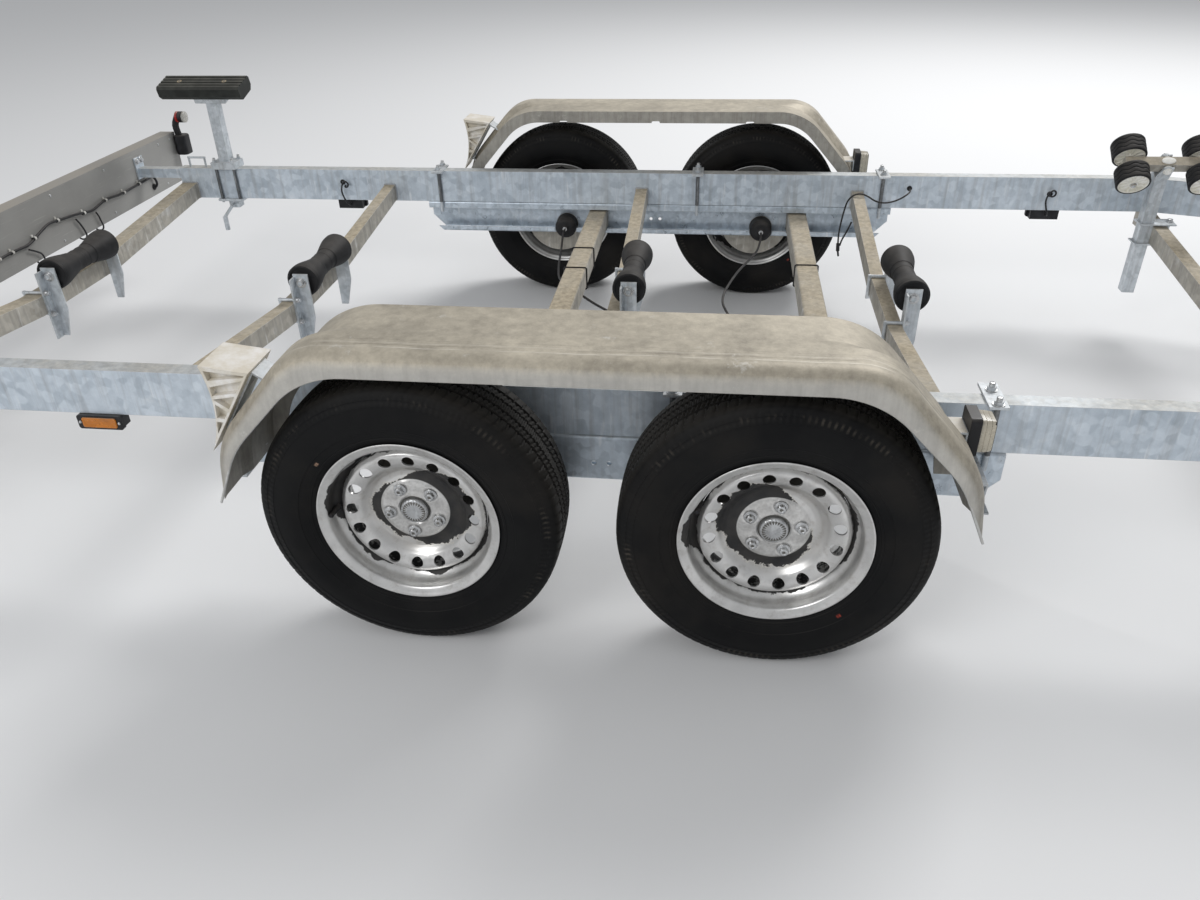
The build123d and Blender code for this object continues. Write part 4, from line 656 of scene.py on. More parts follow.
# %% Rim surfaces
VENTS, VENT_CIRCLE, VENT_RADIUS = 16, 131.0, 13.0
BOLTS, BOLT_CIRCLE = 5, 56.0
DISC_SHEET = 4.0
SECTOR_RADII = (114.0, 148.0)
DISC_PROFILE = np.array([(33, 25.5), (36, 28.0), (58, 28.0), (68, 27.0), (76, 22.0), (84, 19.6), (96, 20.5),
                         (106, 27.0), (114, 35.5), (124, 41.5), (134, 44.8), (142, 46.0), (148, 44.6),
                         (153, 40.0), (157.5, 31.0)])
BARREL_PROFILE = np.array([
    # radius, offset outwards from the tyre's middle: the outer face from lip to lip, then back inside
    (178.5, 72.2), (184, 73.6), (189, 76.0), (193.5, 78.4), (195, 80.4), (193.8, 81.5), (191, 81.2),
    (186, 78.2), (180, 75.4), (174.6, 72.0), (173.0, 62), (172.2, 50), (170.0, 42), (162, 33), (156.4, 28),
    (156, 4), (156, -19), (172, -43), (174, -70), (186, -77), (190.5, -81.4), (195, -81.4), (194.6, -79),
    (178.2, -72), (176.4, -45), (160.4, -21), (160.2, 28), (166, 34), (175.6, 42.6), (177, 60),
])


def disc_offset(radius, angle):
    """Offset of the pressed disc: the profile's height at this radius, plus a wave of five bolt seats that
    follows the cosine of five times the angle from the bolts and fades out at radius 36 and 80, less a 3 mm
    dish round each bolt, which ends 17 mm from the bolt's axis."""
    base = np.interp(radius, *DISC_PROFILE.T)
    window = np.clip((radius - 36) / 10, 0, 1) * np.clip((80 - radius) / 14, 0, 1)
    step = 2 * np.pi / BOLTS
    nearest = (angle + step / 2) % step - step / 2
    apart = np.sqrt(radius ** 2 + BOLT_CIRCLE ** 2 - 2 * radius * BOLT_CIRCLE * np.cos(nearest))
    dish = 3.0 * np.clip(1 - (apart / 17.0) ** 4, 0, 1) ** 0.6
    return base + window * (1.6 * np.cos(BOLTS * angle) - 0.6) - dish


def disc_grid(radius, angle, bolt_turn):
    """Points of the disc in wheel axes: across, offset, up."""
    offset = disc_offset(radius, angle - bolt_turn)
    return np.stack([radius * np.cos(angle), offset, radius * np.sin(angle)], axis=-1)


def rim_sheets(vent_turn, bolt_turn):
    """The disc as a list of grids: an inner ring, a patch for each vent and an outer ring. A vent's patch
    blends from the hole's circle to the point where the same direction meets the sector's border."""
    fine = np.linspace(0, 2 * np.pi, VENTS * 12, endpoint=False)
    fine = np.append(fine, fine[:1]) + vent_turn + np.pi / VENTS
    inner = np.concatenate([np.linspace(33, 84, 18), np.linspace(87, SECTOR_RADII[0], 10)])
    outer = np.linspace(SECTOR_RADII[1], 157.5, 5)
    sheets = [disc_grid(*np.meshgrid(ring, fine, indexing="ij"), bolt_turn) for ring in (inner, outer)]
    half = np.pi / VENTS
    low, high = SECTOR_RADII
    edge = np.linspace(-half, half, 13)[1:-1]
    rise = np.linspace(low, high, 7)
    border_radius = np.concatenate([rise, 0 * edge + high, rise[::-1], 0 * edge + low])
    border_angle = np.concatenate([0 * rise - half, edge, 0 * rise + half, edge[::-1]])
    across = VENT_CIRCLE * border_angle
    direction = np.arctan2(border_radius - VENT_CIRCLE, across)
    hole = np.stack([VENT_RADIUS * np.cos(direction) / VENT_CIRCLE,
                     VENT_CIRCLE + VENT_RADIUS * np.sin(direction)], axis=-1)
    border = np.stack([border_angle, border_radius], axis=-1)
    share = np.linspace(0, 1, 5)[:, None, None]
    blend = hole * (1 - share) + border * share
    blend = np.concatenate([blend, blend[:, :1]], axis=1)
    for k in range(VENTS):
        turn = vent_turn + k * 2 * np.pi / VENTS
        sheets.append(disc_grid(blend[..., 1], blend[..., 0] + turn, bolt_turn))
        rolled = disc_grid(blend[0, :, 1], blend[0, :, 0] + turn, bolt_turn)
        sheets.append(np.stack([rolled - (0, DISC_SHEET, 0), rolled]))
    return sheets


def chaikin(points):
    """Round a polygon's corners twice: each gives way to the points at a quarter and three quarters of its
    sides."""
    for _ in range(2):
        ahead = np.roll(points, -1, axis=0)
        near, far = points * 0.75 + ahead * 0.25, points * 0.25 + ahead * 0.75
        points = np.stack([near, far], axis=1).reshape(-1, 2)
    return points


def in_wheel(shape, x, sign):
    """A shape given in a wheel's own axes (mm: across, outwards, up), carried to the wheel's place
    (metres)."""
    points, faces = shape
    return points * MM * (1, sign, 1) + at(x, sign * WHEEL_Y, WHEEL_Z), faces


def ring_of(radius, offset, steps, closed=False):
    """Surface of revolution in a wheel's own axes; a closed profile joins its last point to its first."""
    around = turns(steps)
    grid = np.stack([radius * np.cos(around), offset + 0 * around, radius * np.sin(around)], axis=-1)
    return surface(grid, close_rows=True, close_columns=closed)


print("rim sheets", len(rim_sheets(0, 0)))

# %% [markdown]
# The paint of these rims has flaked: silver lacquer lies over a black primer, and it has come off round the
# hub and along the seam with ragged edges. The finish measures each point's distance from the axle, shakes
# it with two sizes of noise, and compares it with the two rings where the paint is gone. The flaked patch
# round the hub is off centre, to a side that differs from wheel to wheel. Bright ragged edges show the
# lacquer's thickness.

# %% Flaked silver paint
def flaked_silver(name, x, hub_patch, lobes, spot):
    """Silver lacquer with black primer where it has flaked. The hub's patch reaches to hub_patch (metres),
    and each lobe (degrees, metres) pushes its border out or in towards one direction. Spot is where the
    barrel is bare, in degrees."""
    f = Finish(name)
    radius, angle = around_wheel(f, x)
    shake = f.times(f.minus(f.noise(40, 8, 0.72), 0.5, clamp=False), 0.040, clamp=False)
    shaken = f.plus(radius, shake, clamp=False)
    for degrees, reach in lobes:
        lobe = f.spread(towards(f, angle, degrees), 0.35, 1.0, kind="SMOOTHSTEP")
        shaken = f.minus(shaken, f.times(lobe, reach, clamp=False), clamp=False)
    patch = f.between(shaken, -0.5, hub_patch, 0.0006)
    bare_spot = f.times(f.spread(towards(f, angle, spot), 0.90, 1.0, kind="SMOOTHSTEP"), 0.017)
    seam_width = f.plus(f.spread(f.noise(13, 3), 0.38, 0.66, 0.158, 0.170), bare_spot, clamp=False)
    from_axle = f.plus(radius, f.times(shake, 0.40, clamp=False), clamp=False)
    under_seam = f.spread(f.minus(seam_width, from_axle, clamp=False), -0.0005, 0.0005)
    seam = f.times(f.spread(from_axle, 0.1545, 0.1560), under_seam)
    seat = f.spread(radius, 0.0735, 0.0755, 1, 0)
    bare = f.times(f.math("MAXIMUM", patch, seam), f.minus(1.0, seat))
    painted = f.minus(1.0, bare)
    cloud = f.noise(26, 5)
    f.colour = f.mix(f.spread(cloud, 0.3, 0.75), (0.60, 0.595, 0.585), (0.78, 0.775, 0.76))
    f.cover((0.27, 0.235, 0.19), f.spread(f.noise(48, 6, 0.7), 0.52, 0.72, 0, 0.35))
    soot = f.spread(cloud, 0.35, 0.65, 0.1, 0.5)
    f.cover((0.24, 0.205, 0.16), f.between(radius, 0.090, 0.108, 0.010), soot)
    f.cover(f.mix(f.spread(cloud, 0.35, 0.7), (0.012, 0.012, 0.013), (0.036, 0.033, 0.030)), bare)
    f.cover((0.74, 0.71, 0.65), f.between(shaken, hub_patch, hub_patch + 0.0022, 0.0006), 0.75)
    brushed = f.times(cloud, f.noise(1.0, point=f.stretched(160, 12, 160)))
    f.cover(f.mix(f.spread(brushed, 0.10, 0.36), (0.50, 0.49, 0.475), (0.72, 0.715, 0.70)), seat)
    f.plug("Metallic", f.times(painted, 0.78))
    rough = f.spread(f.plus(bare, f.times(cloud, 0.3)), 0, 1.2, 0.26, 0.62)
    height = f.plus(painted, f.times(f.noise(210), 0.15), clamp=False)
    return f.done(rough, height, 0.5, 0.0004)


zinc_bolt = galvanised("zinc_bolt", (0.70, 0.71, 0.72), (0.42, 0.43, 0.44), 0.12, crystal=120, metal=0.85,
                       rough=(0.22, 0.4))
dull_steel = dusty_rubber("dull_steel", (0.12, 0.115, 0.105), rough=0.6)

# %% [markdown]
# The hub shows a pleated grease cap in a dark gap and five bolts with round heads on conical washers. The
# cap's pleats are a wave of the angle that grows towards its edge. A hexagon is a circle whose radius
# swells towards six corners, so bolts are turned surfaces too.

# %% Hub, bolts and valve
def hexagon_radius(flats, steps):
    """Radius of a hexagon in each direction, from the distance across its flats."""
    return flats / 2 / np.cos((turns(steps) + np.pi / 6) % (np.pi / 3) - np.pi / 6)


def bolt_head(flats, height, washer=0.0, dome=0.35, steps=24):
    """Hexagonal head with a chamfered top, on a washer, in mm: (radius rows, heights), rising from zero."""
    hexagon = hexagon_radius(flats, steps)
    disc = np.full_like(hexagon, flats * 0.5)
    washer_radius = np.full_like(hexagon, max(washer, flats * 0.6))
    rise = 2.0 if washer else 0.4
    radii = [washer_radius, washer_radius, hexagon, hexagon, disc * 0.94, disc * 0.55, disc * 0.0]
    heights = [0, rise, rise, rise + height * 0.86, rise + height, rise + height + dome * flats * 0.16,
               rise + height + dome * flats * 0.2]
    return np.concatenate(radii, axis=1), np.array(heights)


def place_bolts(flats, height, places, axis="y", sign=1, washer=0.0, steps=18):
    """Zinc bolt heads at places (metres) whose axis points along +-x, +-y or +-z, as (shape, material)."""
    radii, heights = bolt_head(flats, height, washer, steps=steps)
    return repeated(turned(radii, sign * heights, steps=len(radii), axis=axis), places), zinc_bolt


def hub_cap():
    """Grease cap: dome of radius 28. Its 24 pleats are a cosine up to 1.1 mm deep, which grows from radius
    14 outwards."""
    radius = np.array([29.5, 29.3, 29.0, 28.0, 26.0, 23.0, 19.0, 16.0, 12.0, 6.0, 0.0])
    offset = np.array([20.0, 28.0, 32.5, 34.6, 35.7, 36.2, 36.5, 36.6, 36.8, 37.0, 37.0])
    share = np.clip((radius - 14) / 10, 0, 1) * (radius < 28.5)
    steps = 96
    return ring_of(radius, offset + 0.55 * share * (np.cos(24 * turns(steps)) - 1), steps)


def wheel_bolt(sign, steps=30):
    """Wheel bolt: a cone that sits in the dish, a broad collar, then a hexagon 17.4 mm across whose
    rounded top has a small hollow. Heights are offsets from the tyre's middle."""
    hexagon = hexagon_radius(17.4, steps)
    rows = [(9.0, 24.0), (13.6, 26.2), (14.0, 27.6), (13.4, 29.2), (11.2, 30.4), (None, 30.8), (None, 37.6),
            (8.2, 38.8), (6.8, 39.3), (4.2, 39.2), (3.2, 38.2), (0.0, 37.6)]
    radius = np.concatenate([hexagon if r is None else np.full_like(hexagon, r) for r, _ in rows], axis=1)
    return turned(radius, sign * np.array([height for _, height in rows]), steps=steps)


def valve_stem(angle):
    """Snap-in valve in a wheel's own axes: a rubber stem that leans out of the barrel and a ribbed cap."""
    start = np.array((165.0 * math.cos(angle), 35.0, 165.0 * math.sin(angle)))
    lean = unit(np.array((0.10 * math.cos(angle), 1.0, 0.10 * math.sin(angle))))
    across = unit(np.cross(lean, (0.0, 0.3, 1.0)))
    stem = np.array([(9.5, 0.0), (9.5, 3.0), (7.4, 5.0), (6.0, 12.0), (5.2, 25.0), (5.0, 25.4), (3.4, 25.6)])
    cap = np.array([(3.4, 25.4), (4.6, 25.4), (4.8, 26.2), (4.8, 36.0), (4.0, 37.6), (0.0, 38.0)])
    around = turns(24)
    ribs = 0.22 * np.cos(12 * around)
    shapes = []
    for profile, wave, material in ((stem, 0.0, black_rubber), (cap, ribs, black_plastic)):
        radius = profile[:, 0] * (1 + wave * (profile[:, 0] > 4.5) * 0.25)
        ring = np.cos(around)[..., None] * across + np.sin(around)[..., None] * np.cross(lean, across)
        grid = start + ring * radius[..., None] + profile[None, :, 1:2] * lean
        shapes.append((surface(grid, close_rows=True), material))
    return shapes


WHEELS = [
    # place, x from the axles, side, degrees of bolts and vents, reach of the bare patch, its lobes,
    # degrees of the bare spot and of the valve
    ("rear", -WHEEL_X, "right", -98.0, -3.0, 0.106, ((30, 0.028), (118, -0.026), (238, -0.020)),
     166.0, 178.7),
    ("front", WHEEL_X, "right", 79.0, 8.2, 0.099, ((132, 0.026), (45, -0.022), (0, -0.014)), 172.0, 158.0),
    ("rear", -WHEEL_X, "left", 20.0, 5.0, 0.100, ((70, 0.022), (200, -0.018)), 80.0, 24.0),
    ("front", WHEEL_X, "left", 50.0, 0.0, 0.096, ((150, 0.018), (300, -0.014)), 200.0, 100.0),
]
for place, x, side_name, bolt_degrees, vent_degrees, patch, lobes, spot, valve_degrees in WHEELS:
    sign = dict(SIDES)[side_name]
    bolt_turn, vent_turn = math.radians(bolt_degrees), math.radians(vent_degrees)
    silver = flaked_silver(f"rim_silver_{place}_{side_name}", x, patch, lobes, spot)
    sheets = [(in_wheel(surface(grid), x, sign), silver) for grid in rim_sheets(vent_turn, bolt_turn)]
    barrel = (in_wheel(ring_of(*chaikin(BARREL_PROFILE).T, 144, closed=True), x, sign), silver)
    piece(f"rim_pressing_{place}_{side_name}", sheets + [barrel], f"wheel_{place}_{side_name}",
          [f"rim_{place}_{side_name}"], fold=40)
    angles = bolt_turn + np.arange(BOLTS) * 2 * np.pi / BOLTS
    across, rise = BOLT_CIRCLE * np.cos(angles), BOLT_CIRCLE * np.sin(angles)
    seats = points_at(x + across, sign * WHEEL_Y, WHEEL_Z + rise)
    bolts = repeated(wheel_bolt(sign), seats)
    valve = valve_stem(math.radians(valve_degrees))
    shapes = [(in_wheel(shape, x, sign), material) for shape, material in valve]
    piece(f"hub_cap_{place}_{side_name}", [(in_wheel(hub_cap(), x, sign), zinc_bolt), (bolts, zinc_bolt)],
          f"wheel_{place}_{side_name}")
    piece(f"valve_{place}_{side_name}", shapes, f"wheel_{place}_{side_name}")
    dress(f"hub_{place}_{side_name}", dull_steel)
print("rims:", len(WHEELS))

# %% [markdown]
# Each keel roller is a turned rubber body: a flat rim at both ends, a cone down to the waist, and a step
# where the cone meets the neck. Its pin is a tube, so a bright ring with a dark hole shows outside each
# ear.

# %% Keel rollers
BEAMS = [
    # name, x of the crossmember, its width, its top at the middle
    ("rear", -1828.0, 60.0, 403.0), ("mid_rear", -1016.0, 40.0, 403.0), ("centre", -49.0, 42.0, 388.0),
    ("mid_front", 733.0, 40.0, 385.0), ("front", 1742.0, 45.0, 334.0),
]
BEAM_DEPTH, ROLLER_Z, ROLLER_AHEAD = 57.0, 456.0, 22.0
EAR_OUT, EAR_SHEET, BOLT_Y = 157.0, 5.0, 174.5
ROLLER_HALF_PROFILE = np.array([
    # radius, offset from the middle, from the pin's hole out over the end to the waist
    (11.0, 143.0), (17.0, 143.0), (18.0, 144.8), (24.0, 144.8), (25.0, 142.6), (39.0, 142.6), (40.0, 144.9),
    (43.5, 145.0), (46.6, 143.6), (47.9, 140.5), (48.0, 134.0), (47.4, 133.0), (48.0, 132.0), (47.6, 120.0),
    (46.4, 110.0), (43.4, 94.0), (39.6, 76.0), (36.4, 60.0), (34.6, 50.0), (34.0, 46.4), (32.4, 45.0),
    (31.6, 43.6), (31.4, 30.0), (31.8, 12.0), (31.0, 10.8), (31.0, 0.0),
])


def tube_ring(outer, inner, length, depth=6.0):
    """Profile of an open tube's end: radius and height, from its outside over the lip and down inside."""
    return np.array([(outer, 0), (outer, length - 0.8), (outer - 0.8, length), (inner + 0.6, length),
                     (inner, length - 0.6), (inner, length - depth), (0, length - depth)], float)


roller_profile = np.concatenate([ROLLER_HALF_PROFILE, ROLLER_HALF_PROFILE[-2::-1] * (1, -1)])
pin_ring = tube_ring(10.4, 6.6, 9.4)
pin_washer = np.array([(10.4, 0.1), (15.5, 0.1), (16.0, 0.6), (16.0, 1.8), (15.5, 2.3), (10.4, 2.3)])
pin_rings, ear_nuts = [], []
for name, x, width, top in BEAMS:
    face = x + width / 2
    roller = lathe(roller_profile, 1, at(face + ROLLER_AHEAD, 0, ROLLER_Z), 72)
    piece(f"roller_rubber_{name}", [(roller, black_rubber)],
          f"keel_roller_{name}_body", [f"keel_roller_{name}"], fold=30)
    for sign in BOTH:
        place = at(face + ROLLER_AHEAD, sign * EAR_OUT, ROLLER_Z)
        pin_rings += [lathe(profile, sign, place, 32) for profile in (pin_ring, pin_washer)]
        ear_nuts += [at(face + EAR_SHEET, sign * BOLT_Y, z) for z in (top + 5.5, top - BEAM_DEPTH - 5.5)]
piece("roller_pin_ends", [(shape, zinc_bolt) for shape in pin_rings], "chassis")
piece("roller_ear_nuts", [place_bolts(15, 8, ear_nuts, "x", 1, washer=10.0)], "chassis")
print("keel rollers:", len(BEAMS))

# %% [markdown]
# The rocker's wheels are black rubber on white plastic centres. The tread is a cylinder whose radius dips
# along three wavy grooves. The centre is one surface over radius and angle: a rim, a sunk web, a boss, and
# ten ribs that are narrow windows of the angle.

# %% Rocker wheels
HEAD_X, HEAD_Y, HEAD_Z, HEAD_LEAN = 1699.5, 692.0, 605.0, math.radians(38.0)
ROCKER_REACH, SMALL_RADIUS, SMALL_INNER, SMALL_WIDTH = 113.0, 52.5, 22.0, 62.0
RIBS = 10


def small_tread():
    """Radius = 52.5 - 2.2 mm in three grooves whose places along the axle wander by 3 sin(8 t)."""
    along = np.concatenate([[0.0, 0.4, 2.0, 5.0], np.linspace(7, SMALL_WIDTH - 7, 31),
                            [SMALL_WIDTH - 5, SMALL_WIDTH - 2, SMALL_WIDTH - 0.4, SMALL_WIDTH]])
    steps = 128
    edge = np.minimum(along, SMALL_WIDTH - along)
    base = SMALL_RADIUS - 3.5 * (1 - np.clip(edge / 5, 0, 1)) ** 2
    wander = 3.0 * np.sin(8 * turns(steps))
    dip = sum(np.exp(-((along + wander - middle) / 1.6) ** 2) for middle in (16.0, 31.0, 46.0))
    radius = base - 2.2 * np.clip(dip, 0, 1)
    return turned(radius, along, steps=steps)


def small_rim(outside):
    """Rubber side ring from the tread's edge in to the plastic centre."""
    profile = np.array([(49.0, 0.0), (47.6, -0.2), (46.4, 0.4), (45.6, 1.6)])
    return turned(profile[:, 0], outside + np.sign(outside - 30) * -profile[:, 1])


def small_centre(outside):
    """Height of the plastic centre: rim at radius 44 to 46, web 9 mm deep, boss under radius 13, ribs
    between."""
    inward = -1 if outside > 30 else 1
    radius = np.array([46.0, 45.6, 44.2, 43.6, 43.0, 36.0, 28.0, 20.0, 14.6, 14.0, 13.4, 12.8, 9.0, 8.4])
    depth = np.array([1.4, 1.0, 1.0, 1.6, 9.0, 9.0, 9.0, 8.6, 8.0, 7.0, 1.0, 0.4, 0.4, 1.0])
    steps = 160
    rib = (np.abs((turns(steps) * RIBS / (2 * np.pi) + 0.5) % 1 - 0.5) < 0.07).astype(float)
    height = np.where(depth > 7.5, depth - rib * 5.2, depth)
    return turned(radius, outside + inward * height, steps=steps)


def in_head(shape, x, sign):
    """A shape made about the Y axis, carried to the leaning axle of a rocker; x is in mm from its pivot."""
    points, faces = shape
    out = np.array((0, sign * math.cos(HEAD_LEAN), math.sin(HEAD_LEAN)))
    upward = np.array((0, -sign * math.sin(HEAD_LEAN), math.cos(HEAD_LEAN)))
    pivot = np.array(at(HEAD_X + x, sign * HEAD_Y, HEAD_Z))
    return pivot + points[:, :1] * (1, 0, 0) + points[:, 1:2] * out + points[:, 2:] * upward, faces


white_plastic = dusty_rubber("white_plastic", (0.80, 0.78, 0.70), 0.2, (0.55, 0.50, 0.41), 0.45)
wheel = [(small_tread(), black_rubber)]
for outside in (0.0, SMALL_WIDTH):
    wheel += [(small_rim(outside), black_rubber), (small_centre(outside), white_plastic)]
bore = np.array([(8.4, 1.0), (8.4, SMALL_WIDTH - 1.0)])
wheel.append((lathe(bore, steps=160), white_plastic))
wheel_pair = [((points + (0, start * MM, 0), faces), material)
              for start in (SMALL_INNER, -SMALL_INNER - SMALL_WIDTH) for (points, faces), material in wheel]
for place, sx in (("rear", -1), ("front", 1)):
    for side_name, sign in SIDES:
        shapes = [(in_head(shape, sx * ROCKER_REACH, sign), material) for shape, material in wheel_pair]
        piece(f"rocker_wheel_pair_{place}_{side_name}", shapes, f"rocker_wheels_{place}_{side_name}_body",
              [f"rocker_wheels_{place}_{side_name}"], fold=36)
radii, heights = bolt_head(13, 5, 10.0)
cap_start = SMALL_INNER + SMALL_WIDTH + 0.6
bush = np.array([(6.2, 17.4), (14.0, 17.4), (14.0, 20.6), (12.0, 22.4), (6.2, 22.6)])
for side_name, sign in SIDES:
    caps = [(in_head(turned(radii, way * (cap_start + heights), steps=len(radii)), x, sign), zinc_bolt)
            for x in (-ROCKER_REACH, ROCKER_REACH) for way in BOTH]
    caps += [(in_head(lathe(bush, way, steps=40), 0, sign), white_plastic) for way in BOTH]
    piece(f"rocker_axle_ends_{side_name}", caps, f"rocker_{side_name}_body")
print("rocker wheels: 8, ribs each:", RIBS)

# %% [markdown]
# Bolts and threads are small turned surfaces repeated at a list of places. A thread is a stack of rings
# whose radius rises and falls once each pitch.

# %% Clamps and their threads
RAIL_TOP, RAIL_INNER, RAIL_OUTER, RAIL_Y = 520.0, 821.0, 866.0, 843.5
CLAMP_ROD_Y = (RAIL_INNER - 7.0, RAIL_OUTER + 12.0)
CLAMP_X = (-817.0, 157.0, 818.0)
PAD_ROD_X, PAD_ROD_Y = (-1704.0, -1632.0), (RAIL_INNER - 6.0, RAIL_OUTER + 6.0)


def threaded(radius, length, pitch=1.5, steps=20):
    """Threaded end: radius plus 0.35 mm at each crest, 0.35 mm less in each root, closed by a small
    chamfer."""
    height = np.arange(0, length, pitch / 2)
    wave = np.where(np.arange(len(height)) % 2, 0.35, -0.35)
    radius_row = np.concatenate([radius + wave, [radius - 1.0, 0.0]])
    return turned(radius_row, np.concatenate([height, [length, length]]), steps=steps, axis="z")


clamp_tops = [at(x, s * y, RAIL_TOP + 15) for x in CLAMP_X for y in CLAMP_ROD_Y for s in BOTH]
pad_tops = [at(x, s * y, RAIL_TOP + 33) for x in PAD_ROD_X for y in PAD_ROD_Y for s in BOTH]
washer = np.array([(6.4, 0.0), (12.6, 0.0), (13.0, 0.5), (13.0, 1.7), (12.6, 2.2), (6.4, 2.2)])
END = 9.0                        # length of a thread above its nut
washers = repeated(lathe(washer, steps=32, axis="z"), np.array(clamp_tops) - (0, 0, END * MM))
clamp_parts = [(repeated(threaded(6.0, END), clamp_tops), zinc_bolt),
               (repeated(threaded(5.0, END), pad_tops), zinc_bolt), (washers, zinc_bolt)]
piece("clamp_threads", clamp_parts, "chassis")
# The clamp rods take a zinc far darker than the rails: painted shade, for the shadow the rods lie in.
shaded_rod_zinc = galvanised("shaded_rod_zinc", (0.20, 0.21, 0.22), (0.09, 0.095, 0.10), 0.15, crystal=90, metal=0.6,
                      rough=(0.4, 0.55))
rods = []
for s in BOTH:
    for rod_x, rod_y, low, radius in ((CLAMP_X, CLAMP_ROD_Y, (405.6, 440.0), 6.5),
                                      (PAD_ROD_X, PAD_ROD_Y, (397.4, 430.0), 5.5)):
        rod = oval(radius * MM, radius * MM, 14)
        rods += [swept([at(x, s * y, z) for z in (*low, 480.0, 519.6)], rod, (1, 0, 0))
                 for x in rod_x for y in rod_y]
piece("clamp_rods", [(rod, shaded_rod_zinc) for rod in rods], "chassis")
print("clamps:", len(clamp_tops), "threads")

# %% [markdown]
# The crossmembers are welded into the rails. A weld is a bead carried round the joint, whose height swells
# and falls every four millimetres, which is what a welder's steps look like.

# %% Welds
def bead(corners, radius=3.2, step=0.002):
    """Weld along straight runs between corners (metres): a tube whose radius swells by a fifth at each
    step."""
    corners = np.asarray(corners, float)
    lengths = np.linalg.norm(np.diff(corners, axis=0), axis=1)
    total = np.concatenate([[0], np.cumsum(lengths)])
    run = np.arange(0, total[-1], step)
    path = np.stack([np.interp(run, total, corners[:, k]) for k in range(3)], axis=-1)
    size = radius * MM * (1 + 0.22 * np.cos(2 * np.pi * run / 0.004))
    sides = 8
    around = turns(sides)
    ahead = unit(np.gradient(path, axis=0))
    sideways = unit(np.cross(ahead, (0.0, 1.0, 0.02)))[:, None]
    third = np.cross(ahead[:, None], sideways)
    ring = path[:, None] + size[:, None, None] * (np.cos(around) * sideways + np.sin(around) * third)
    ends = [np.repeat(path[i][None, None], sides, axis=1) for i in (0, -1)]
    return surface(np.concatenate([ends[0], ring, ends[1]]), close_columns=True)


FRONT_BEAM_X, FRONT_BEAM_HALF, RAIL_UNDER = 1742.0, 22.5, 404.6
BEAM_ENDS = [
    # x of the crossmember, its width, its top where it meets the rail
    (-1828.0, 60.0, 464.0), (-1016.0, 40.0, 466.0), (-49.0, 42.0, 464.0), (733.0, 40.0, 464.0),
]
welds = []
for x, width, high in BEAM_ENDS:
    half, low, top = width / 2 + 0.5, high - BEAM_DEPTH - 0.5, high + 0.5
    round_beam = [(x - half, low), (x - half, top), (x + half, top), (x + half, low), (x - half, low)]
    welds += [bead([at(corner, s * (RAIL_INNER - 0.8), z) for corner, z in round_beam]) for s in BOTH]
for s in BOTH:
    for x in (FRONT_BEAM_X - FRONT_BEAM_HALF, FRONT_BEAM_X + FRONT_BEAM_HALF):
        welds.append(bead([at(x, s * y, RAIL_UNDER) for y in (RAIL_INNER + 1, RAIL_OUTER - 1)]))
weld_zinc = galvanised("weld_zinc", (0.50, 0.515, 0.53), (0.36, 0.37, 0.385), 0.4, crystal=160)
piece("beam_welds", [(weld, weld_zinc) for weld in welds], "chassis", fold=60)
print("welds:", len(welds))

# %% [markdown]
# The brake cables leave the carriers through rubber boots. Each boot is a dome with two shallow folds, and
# a bright sleeve with a lock nut holds the cable at its tip.

# %% Brake boots
BOOT_X, BOOT_Z = (-341.0, 398.0), 311.0
BOOT_PROFILE = np.array([
    # radius, distance inwards from the rail's inner side: from the outer face over the rim to the tip
    (0.0, -49.6), (38.0, -49.6), (40.0, -48.0), (40.0, 0.0), (39.6, 2.0), (38.0, 4.2), (37.4, 5.0),
    (37.0, 7.0), (34.6, 10.2), (31.0, 12.4), (30.0, 13.6), (26.0, 15.6), (19.0, 17.2), (13.0, 17.8),
    (11.6, 18.6), (11.0, 21.4), (9.6, 22.6), (6.0, 23.0), (4.2, 23.2),
])
SLEEVE = np.array([(4.2, 19.0), (7.8, 19.0), (8.2, 22.0), (8.0, 23.6), (5.4, 24.0), (5.2, 31.0),
                   (4.2, 31.2)])
boots = []
for x in BOOT_X:
    for s in BOTH:
        place = at(x, s * RAIL_INNER, BOOT_Z)
        boots += [(lathe(BOOT_PROFILE, -s, place, 64), black_rubber),
                  (lathe(SLEEVE, -s, place, 32), zinc_bolt)]
piece("boot_domes", boots, "chassis", ["brake_boots"], fold=40)
print("boots:", len(boots) // 2)

# %% [markdown]
# Every fender has a hem: its lower edge is folded over a wire, which leaves a narrow bright bead along the
# side wall. The bead follows the edge's side view, whose corners are arcs, so a helper rounds a line of
# corners: the arc starts and ends at the radius times the tangent of half the turn from the corner.

# %% Hems and stays
def filleted(corners, steps=14):
    """Side-view line (x, z) whose corners (x, z, radius) are replaced by arcs."""
    corners = np.asarray(corners, float)
    line = [corners[:1, :2]]
    for before, (x, z, radius), after in zip(corners[:-2, :2], corners[1:-1], corners[2:, :2]):
        corner = np.array((x, z))
        back, ahead = unit(before - corner), unit(after - corner)
        half = math.acos(np.clip(-back @ ahead, -1, 1)) / 2
        centre = corner + unit(back + ahead) * radius / math.cos(half)
        start = corner + back * radius * math.tan(half) - centre
        share = np.linspace(0, 1, steps)[:, None]
        end = corner + ahead * radius * math.tan(half) - centre
        arc = (start * np.sin((1 - share) * 2 * half) + end * np.sin(share * 2 * half)) / math.sin(2 * half)
        line.append(centre + arc)
    line.append(corners[-1:, :2])
    return np.concatenate(line)


def resampled(line, step):
    """The same line with points at even distances."""
    run = np.concatenate([[0], np.cumsum(np.linalg.norm(np.diff(line, axis=0), axis=1))])
    even = np.linspace(0, run[-1], max(2, int(run[-1] / step)))
    return np.stack([np.interp(even, run, line[:, k]) for k in range(line.shape[1])], axis=-1)


